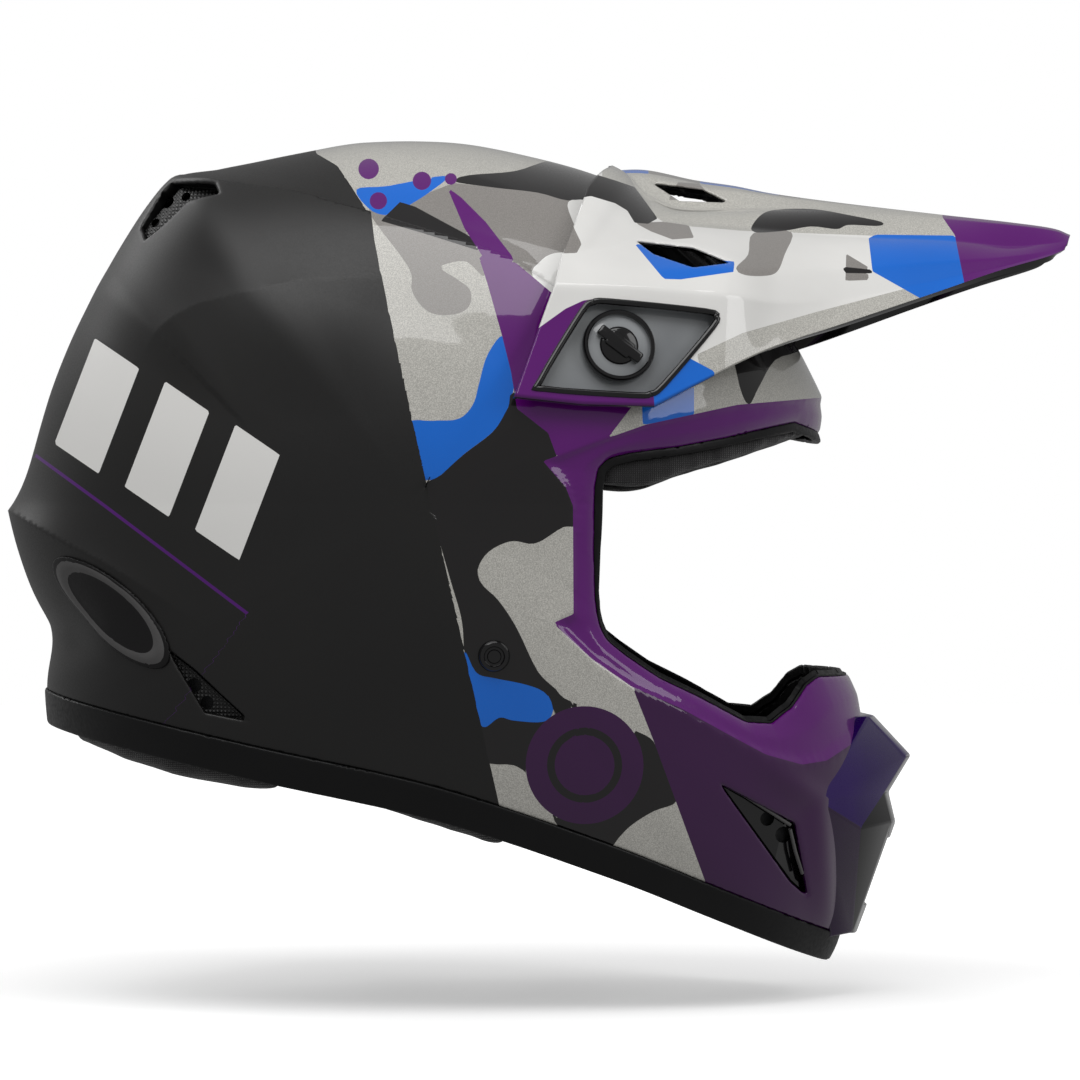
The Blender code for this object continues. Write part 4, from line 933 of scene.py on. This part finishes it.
def make_peak():
    """The peak: creased surface, openings for the pods, scoops and the gap under the blade."""
    grid = peak_surface()
    rows, columns = grid.shape[:2]
    points = clear_of_shell(grid.reshape(-1, 3), PEAK_CLEARANCE)
    points[:columns, 1] = 0
    side, depth, place = points[:, [0, 2]], np.abs(points[:, 1]), painted_place(points)
    fields = [
        np.where(depth > 88, -inside_distance(side, POD, False, UNCUT), UNCUT),
        np.where((depth > 45) & (depth < 120), -inside_distance(place, SCOOP, False, UNCUT), UNCUT),
        np.where(depth < 60, -inside_distance(side, BRIDGE_WINDOW, False, UNCUT), UNCUT),
    ]
    work, _ = cut_sheet(points, grid_faces(rows, columns), fields, [], PEAK_EASE, merge=PEAK_MERGE)
    peak = finish_sheet("painted_peak", work, PEAK_WALL, "peak", peak_paint, ["peak_camo", "shiny"])
    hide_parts("peak")


# ---------------------------------------------------------------- chin front
# Corners of the chin's faceted front on the right side, as painted x, half width and painted z.
MOUTH_CORNERS = [
    (158.6, 27, -57.8), (172.8, 22, -72.6), (139.3, 60.5, -89.0), (164.5, 25, -85.8), (155.6, 37, -99.2),
    (167.2, 22, -96.8), (144.6, 30, -139.5), (152.6, 22, -138.0), (160.2, 0, -57.2), (174.2, 0, -72.2),
    (166.0, 0, -85.8), (168.6, 0, -96.8), (165.6, 16, -103.0), (166.4, 0, -103.0), (157.0, 16, -127.0),
    (158.2, 0, -127.0), (154.0, 0, -138.0),
]
MOUTH_FACETS = [
    ((0, 1, 3, 4, 2), 0), ((2, 4, 7, 6), 1), ((0, 8, 9, 1), 0), ((1, 9, 10, 3), 1), ((3, 10, 11, 5), 2),
    ((4, 3, 5), 2), ((4, 5, 12, 14, 7), 2), ((5, 11, 13, 12), 2), ((14, 15, 16, 7), 2),
]
MOUTH_EDGE = (8, 0, 2, 6, 7, 16)   # corners that a skirt joins to the shell
SKIRT_KINDS = (0, 0, 1, 1, 2)


def true_place(x, half, z, sign):
    """The point that shows at (x, z) from the side and stands `half` off the middle plane."""
    shrink = 1 - half / VIEW_DISTANCE
    return (VIEW_CENTRE[0] + (x - VIEW_CENTRE[0]) * shrink, -sign * half,
            VIEW_CENTRE[1] + (z - VIEW_CENTRE[1]) * shrink)


def make_mouth():
    """The chin's faceted front with its louvres."""
    points, faces, kinds = [], [], []
    for sign in (1, -1):
        start = len(points)
        points += [true_place(*corner, sign) for corner in MOUTH_CORNERS]
        for corners, kind in MOUTH_FACETS:
            faces.append(tuple(start + c for c in (corners if sign > 0 else corners[::-1])))
            kinds.append(kind)
        for number in MOUTH_EDGE:
            x, half, z = MOUTH_CORNERS[number]
            points.append(true_place(x - 8, half * 0.9, z, sign))
        kinds += SKIRT_KINDS
        for step, (a, b) in enumerate(zip(MOUTH_EDGE[:-1], MOUTH_EDGE[1:])):
            inner = start + len(MOUTH_CORNERS) + step
            ring = (start + a, start + b, inner + 1, inner)
            faces.append(ring if sign > 0 else ring[::-1])
    front = new_object("mouth_facets", points, faces)
    for look in ("mask", "mask_dark", "shiny"):
        front.data.materials.append(LOOK[look])
    for polygon, kind in zip(front.data.polygons, kinds):
        polygon.material_index = kind
    work = bmesh.new()
    work.from_mesh(front.data)
    bmesh.ops.remove_doubles(work, verts=work.verts, dist=0.00001)
    bmesh.ops.recalc_face_normals(work, faces=work.faces)
    if sum(face.normal.x for face in work.faces) < 0:
        bmesh.ops.reverse_faces(work, faces=work.faces)
    work.to_mesh(front.data)
    work.free()
    wall = front.modifiers.new("wall", "SOLIDIFY")
    wall.thickness = 2.4 * MM
    wall.offset = -1
    wall.use_even_offset = True
    ease_edges(front, 0.9, 12)
    apply_all(front)
    front.data.shade_smooth()
    front.data.set_sharp_from_angle(angle=math.radians(30))
    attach(front, ROOT)
    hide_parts("mouth_vent_frame")
    lean = Matrix.Rotation(math.radians(-18), 4, "Y")
    for number, height in enumerate((-108, -114, -120)):
        place = Matrix.Translation((158.5 + (height + 108) * 0.33, 0, height)) @ lean
        rounded_bar(f"mouth_louvre_{number}", (7.0, 33.0, 1.8), place, ROOT, "shiny", 0.6)


# Lines of the light grey beads that paint the highlights on the edges inside the chin's side vents.
CHIN_HIGHLIGHT_RIBS = [((108.5, -84.5), (118, -90.5), (129.5, -98)), ((129.5, -99.5), (131.5, -108), (134, -116))]


def tube(name, places, radius, body, look, closed=False, steps=4):
    """A round bead along a line of places."""
    curve = bpy.data.curves.new(name, "CURVE")
    curve.dimensions = "3D"
    curve.bevel_depth = radius * MM
    curve.bevel_resolution = steps
    spline = curve.splines.new("POLY")
    spline.points.add(len(places) - 1)
    for point, place in zip(spline.points, places):
        point.co = (*(c * MM for c in place), 1)
    spline.use_cyclic_u = closed
    bead = bpy.data.objects.new(name, curve)
    bpy.context.scene.collection.objects.link(bead)
    curve.materials.append(LOOK[look])
    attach(bead, body)


def make_chin_highlight_ribs():
    """Beads along the edges inside the chin's side vents, light grey as a painted highlight."""
    for mark, sign in (("R", 1), ("L", -1)):
        for number, line in enumerate(CHIN_HIGHLIGHT_RIBS):
            places = [true_place(x, float(half_width_at(x * 0.97, z * 0.96)) - 2.2, z, sign) for x, z in line]
            # painted highlight: the beads take the badge ring's light grey for the shine along the edges
            tube(f"chin_rib_{mark}_{number}", places, 0.65, ROOT, "badge_ring")


# ---------------------------------------------------------------- turned pieces and hardware
def lathe(name, profile, centre, axis, body, look, node, sides=96):
    """A profile of (radius, height) turned about an axis."""
    frame_of = Vector(axis).to_track_quat("Z", "Y").to_matrix()
    points = []
    for r, h in profile:
        for step in range(sides):
            turn = 2 * math.pi * step / sides
            points.append(Vector(centre) + frame_of @ Vector((r * math.cos(turn), r * math.sin(turn), h)))
    obj = new_object(name, [tuple(p) for p in points], ring_faces(len(profile), sides))
    work = bmesh.new()
    work.from_mesh(obj.data)
    bmesh.ops.remove_doubles(work, verts=work.verts, dist=0.00001)
    bmesh.ops.recalc_face_normals(work, faces=work.faces)
    work.to_mesh(obj.data)
    work.free()
    obj.data.shade_smooth()
    obj.data.set_sharp_from_angle(angle=math.radians(32))
    wear(obj, look)
    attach(obj, body)
    if node:
        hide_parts(node)


def rounded_bar(name, size, place, body, look, round_mm):
    """A block with rounded edges, put in place by a matrix in millimetres."""
    work = bmesh.new()
    bmesh.ops.create_cube(work, size=1)
    bmesh.ops.transform(work, matrix=Matrix.Diagonal((*size, 1)), verts=work.verts)
    bmesh.ops.bevel(work, geom=work.edges[:], offset=round_mm, segments=3, affect="EDGES", profile=0.5)
    bmesh.ops.transform(work, matrix=Matrix.Scale(MM, 4) @ place, verts=work.verts)
    mesh = bpy.data.meshes.new(name)
    work.to_mesh(mesh)
    work.free()
    obj = bpy.data.objects.new(name, mesh)
    bpy.context.scene.collection.objects.link(obj)
    obj.data.shade_smooth()
    obj.data.set_sharp_from_angle(angle=math.radians(40))
    wear(obj, look)
    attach(obj, body)


SCREW_RIM = [(11.2, 2.4), (11.2, 4.0), (11.6, 4.4), (12.4, 4.4), (12.8, 3.9), (13.0, 3.2), (13.0, 1.9),
             (12.7, 1.6), (3, 1.6), (3, -15), (0, -15)]
SCREW_DISH = [(0, 3.2), (7.0, 3.2), (9.5, 2.7), (11.3, 2.5)]
SCREW_HUB = [(0, 4.6), (5.6, 4.6), (6.4, 4.2), (6.9, 3.4), (7.0, 2.9)]
SCREW_GRIPS = [(18.0, 4.0, 3.4), (10.0, 6.0, 2.8)]


def make_screws():
    """The pods' hand screws: a black rim and hub, a smoked dish and a raised grip bar."""
    for mark, sign in (("R", 1), ("L", -1)):
        axis = Vector((POD_SLOPE[0], -sign, POD_SLOPE[1])).normalized()
        centre = (PIVOT[0], -sign * pod_half_width(*PIVOT), PIVOT[1])
        body = f"screw_{mark}"
        node = f"peak_screw_{mark}"
        lathe(f"screw_rim_{mark}", SCREW_RIM, centre, axis, body, "shiny", node)
        lathe(f"screw_dish_{mark}", SCREW_DISH, centre, axis, body, "smoked", None)
        lathe(f"screw_hub_{mark}", SCREW_HUB, centre, axis, body, "shiny", None)
        turn = axis.to_track_quat("Z", "Y").to_matrix().to_4x4()
        tilt = Matrix.Rotation(math.radians(-38 * sign), 4, "Z")
        for number, size in enumerate(SCREW_GRIPS):
            place = Matrix.Translation(centre) @ turn @ tilt @ Matrix.Translation((0, 0, 4.6))
            rounded_bar(f"screw_grip_{mark}_{number}", size, place, body, "shiny", 0.9)
        wear(NODES[f"peak_washer_{mark}"], "steel")


RIVET_PLACE = (21.0, -33.0)
RIVET = [(0, 1.5), (2.2, 1.5), (2.5, 1.2), (3.3, 1.2), (3.7, 1.9), (4.8, 1.9), (5.4, 1.2), (5.6, 0.2),
         (2.6, 0), (2.6, -12.6), (4.6, -12.6), (4.6, -14.4), (0, -14.4)]


def make_rivets():
    """The strap rivets, with their heads on the shell."""
    x, z = RIVET_PLACE
    normal = side_normal(x, z)
    for mark, sign in (("R", 1), ("L", -1)):
        centre = (x, -sign * float(half_width_at(x, z)), z)
        axis = Vector((normal.x, sign * normal.y, normal.z))
        lathe(f"rivet_{mark}", RIVET, centre, axis, ROOT, "shiny", f"strap_rivet_{mark}", 64)


def make_pod_edges():
    """The black bead round each pod."""
    line = smooth_line(soften(POD, 3.0), 4, closed=True)
    for mark, sign in (("R", 1), ("L", -1)):
        places = [(x, -sign * (pod_half_width(x, z) + POD_DEPTH - 0.3), z) for x, z in line]
        tube(f"pod_bead_{mark}", places, 1.2, "peak", "shiny", closed=True, steps=3)


def soften(outline, corner):
    """The outline with two points in place of each corner."""
    pts = np.array(outline, float)
    found = []
    for before, here, after in zip(np.roll(pts, 1, axis=0), pts, np.roll(pts, -1, axis=0)):
        for other in (before, after):
            step = other - here
            found.append(here + step * min(corner / np.linalg.norm(step), 0.45))
    return np.array(found)


# ---------------------------------------------------------------- soft pieces
CLOTH_FRAMES = 20


def puffed(node, name, look, shrink, cap, voxel=5.0, pressure=4.0):
    """A padded piece: the CAD solid remeshed, drawn in by `shrink`, then blown up as cloth.

    `cap` is the furthest that the cloth may move a point.
    """
    obj = bpy.data.objects.new(name, NODES[node].data.copy())
    bpy.context.scene.collection.objects.link(obj)
    remesh = obj.modifiers.new("remesh", "REMESH")
    remesh.mode = "VOXEL"
    remesh.voxel_size = voxel * MM
    shell = obj.modifiers.new("shrink", "DISPLACE")
    shell.strength = -shrink * MM
    shell.mid_level = 0
    ease = obj.modifiers.new("ease", "SMOOTH")
    ease.factor = 0.6
    ease.iterations = 5
    apply_all(obj)
    start = np.empty(len(obj.data.vertices) * 3)
    obj.data.vertices.foreach_get("co", start)
    swell = obj.modifiers.new("cloth", "CLOTH")
    swell.settings.use_pressure = True
    swell.settings.uniform_pressure_force = pressure
    swell.settings.effector_weights.gravity = 0
    swell.settings.tension_stiffness = swell.settings.compression_stiffness = 30
    scene = bpy.context.scene
    for number in range(1, CLOTH_FRAMES + 1):
        scene.frame_set(number)
    apply_all(obj)
    scene.frame_set(1)
    end = np.empty(len(start))
    obj.data.vertices.foreach_get("co", end)
    move = (end - start).reshape(-1, 3)
    length = np.linalg.norm(move, axis=1, keepdims=True)
    move *= np.minimum(1, cap * MM / np.maximum(length, 1e-9))
    obj.data.vertices.foreach_set("co", (start.reshape(-1, 3) + move).ravel())
    finer = obj.modifiers.new("finer", "SUBSURF")
    finer.levels = finer.render_levels = 1
    apply_all(obj)
    obj.data.shade_smooth()
    wear(obj, look)
    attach(obj, ROOT)
    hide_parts(node)
    return obj


def make_soft():
    """Every padded piece, and the cheek foam blocks."""
    puffed("crown_pad", "crown_cushion", "knit", 1.0, 2.5)
    puffed("brow_pad", "brow_cushion", "knit", 0.4, 1.5, 3.0)
    puffed("neck_roll", "neck_cushion", "knit", 1.0, 3.0)
    for mark in "RL":
        puffed(f"cheek_pad_{mark}", f"cheek_cushion_{mark}", "knit", 1.0, 3.5)
        puffed(f"cheek_foam_{mark}", f"cheek_block_{mark}", "knit", 0.6, 0.8, 4.0, 0.5)
        puffed(f"strap_sleeve_{mark}", f"strap_cushion_{mark}", "knit",
               0.3, 1.0, 2.0, 1.0)


# ---------------------------------------------------------------- nodes kept from the CAD
KEPT = {
    "steel": ["d_ring_upper", "d_ring_lower", "strap_anchor_R", "strap_anchor_L", "peak_nut_R", "peak_nut_L"],
    "foam": ["crown_foam", "chin_foam"], "sponge": ["chin_filter"], "strap": ["chin_strap_R", "chin_strap_L"],
    "black": ["strap_snap", "cheek_snap_1_R", "cheek_snap_1_L", "cheek_snap_2_R", "cheek_snap_2_L"],
    "grille": ["rear_vent_grille_R", "rear_vent_grille_L", "top_vent_grille_R", "top_vent_grille_L"],
    "shiny": ["mouth_grille", "chin_vent_grille_R", "chin_vent_grille_L"],
    "smoked": ["pod_plate_R", "pod_plate_L"],
}
BEVELLED = {"chin_strap_R": 0.5, "chin_strap_L": 0.5, "pod_plate_R": 0.4, "pod_plate_L": 0.4,
            "mouth_grille": 0.5, "strap_snap": 0.6, "strap_anchor_R": 0.3, "strap_anchor_L": 0.3}


def dress_kept():
    """Materials, and eased edges, for the CAD pieces that stay."""
    for look, names in KEPT.items():
        for name in names:
            obj = NODES[name]
            for number in range(max(1, len(obj.data.materials))):
                if number < len(obj.data.materials):
                    obj.data.materials[number] = LOOK[look]
                else:
                    obj.data.materials.append(LOOK[look])
            if name in BEVELLED:
                ease_edges(obj, BEVELLED[name], 28)


# ---------------------------------------------------------------- stage
def area_light(name, place, aim, size, power):
    """A soft box that points at a place."""
    light = bpy.data.lights.new(name, "AREA")
    light.shape = "RECTANGLE"
    light.size, light.size_y = size
    light.energy = power
    obj = bpy.data.objects.new(name, light)
    obj.location = place
    obj.rotation_euler = (Vector(aim) - Vector(place)).to_track_quat("-Z", "Y").to_euler()
    bpy.context.scene.collection.objects.link(obj)


def make_camera():
    """A camera far out at the wearer's right."""
    scene = bpy.context.scene
    scene.view_settings.view_transform = "Standard"
    camera = bpy.data.cameras.new("camera")
    camera.angle = 2 * math.atan(0.1998 / 2.0)
    holder = bpy.data.objects.new("camera", camera)
    holder.location = (VIEW_CENTRE[0] * MM, -VIEW_DISTANCE * MM, VIEW_CENTRE[1] * MM)
    holder.rotation_euler = (math.pi / 2, 0, 0)
    scene.collection.objects.link(holder)
    scene.camera = holder


def make_lights():
    """Three soft boxes."""
    area_light("key", (-0.25, -0.8, 1.5), (0.0, 0, 0.05), (1.6, 1.2), 17)
    area_light("front", (1.5, -0.9, 0.9), (0.08, 0, 0.0), (0.8, 1.2), 7)
    area_light("back", (-1.2, 1.2, 1.2), (0, 0, 0.05), (1.0, 1.0), 6)


def make_surround():
    """A surround that looks white and lights the helmet softly."""
    world = bpy.data.worlds.new("surround")
    world.use_nodes = True
    bpy.context.scene.world = world
    tree = world.node_tree
    tree.nodes.clear()
    out = tree.nodes.new("ShaderNodeOutputWorld")
    mix = tree.nodes.new("ShaderNodeMixShader")
    path = tree.nodes.new("ShaderNodeLightPath")
    for slot, strength in ((1, 0.30), (2, 1.0)):
        glow = tree.nodes.new("ShaderNodeBackground")
        glow.inputs["Color"].default_value = (1, 1, 1, 1)
        glow.inputs["Strength"].default_value = strength
        tree.links.new(glow.outputs[0], mix.inputs[slot])
    tree.links.new(path.outputs["Is Camera Ray"], mix.inputs[0])
    tree.links.new(mix.outputs[0], out.inputs["Surface"])


FLOOR_RINGS, FLOOR_SIDES = (0, 400, 3500), 64
FLOOR_CENTRE, FLOOR_HEIGHT = 10, -160


def make_floor():
    """A round pale floor that glows and grows lighter away from the helmet, its weaker glow near the helmet a
    painted shadow.
    """
    points = []
    for radius in FLOOR_RINGS:
        for step in range(FLOOR_SIDES):
            turn = 2 * math.pi * step / FLOOR_SIDES
            points.append((radius * math.cos(turn) + FLOOR_CENTRE, radius * math.sin(turn), FLOOR_HEIGHT))
    floor = new_object("floor", points, ring_faces(len(FLOOR_RINGS), FLOOR_SIDES))
    made = Nodes("pale_floor")
    made.base(made.mix(made.noise(3), linear(236, 236, 236), linear(242, 242, 242))).set(roughness=0.85)
    length = made.tree.nodes.new("ShaderNodeVectorMath")
    length.operation = "LENGTH"
    made.link(made.place, length.inputs[0])
    # painted shadow: the floor's glow falls off towards the helmet, darkening the floor beneath it
    glow = made.span(length.outputs["Value"], 0.15, 0.70, 0.50, 1.05)
    made.link(glow, made.shader.inputs["Emission Strength"])
    made.shader.inputs["Emission Color"].default_value = (0.8, 0.8, 0.8, 1)
    floor.data.materials.append(made.material)
    floor.visible_glossy = False
    floor.visible_diffuse = False


make_camera()
make_lights()
make_surround()
make_floor()
make_shell()
make_trims()
make_badges()
make_peak()
make_mouth()
make_chin_highlight_ribs()
make_screws()
make_rivets()
make_pod_edges()
make_soft()
dress_kept()
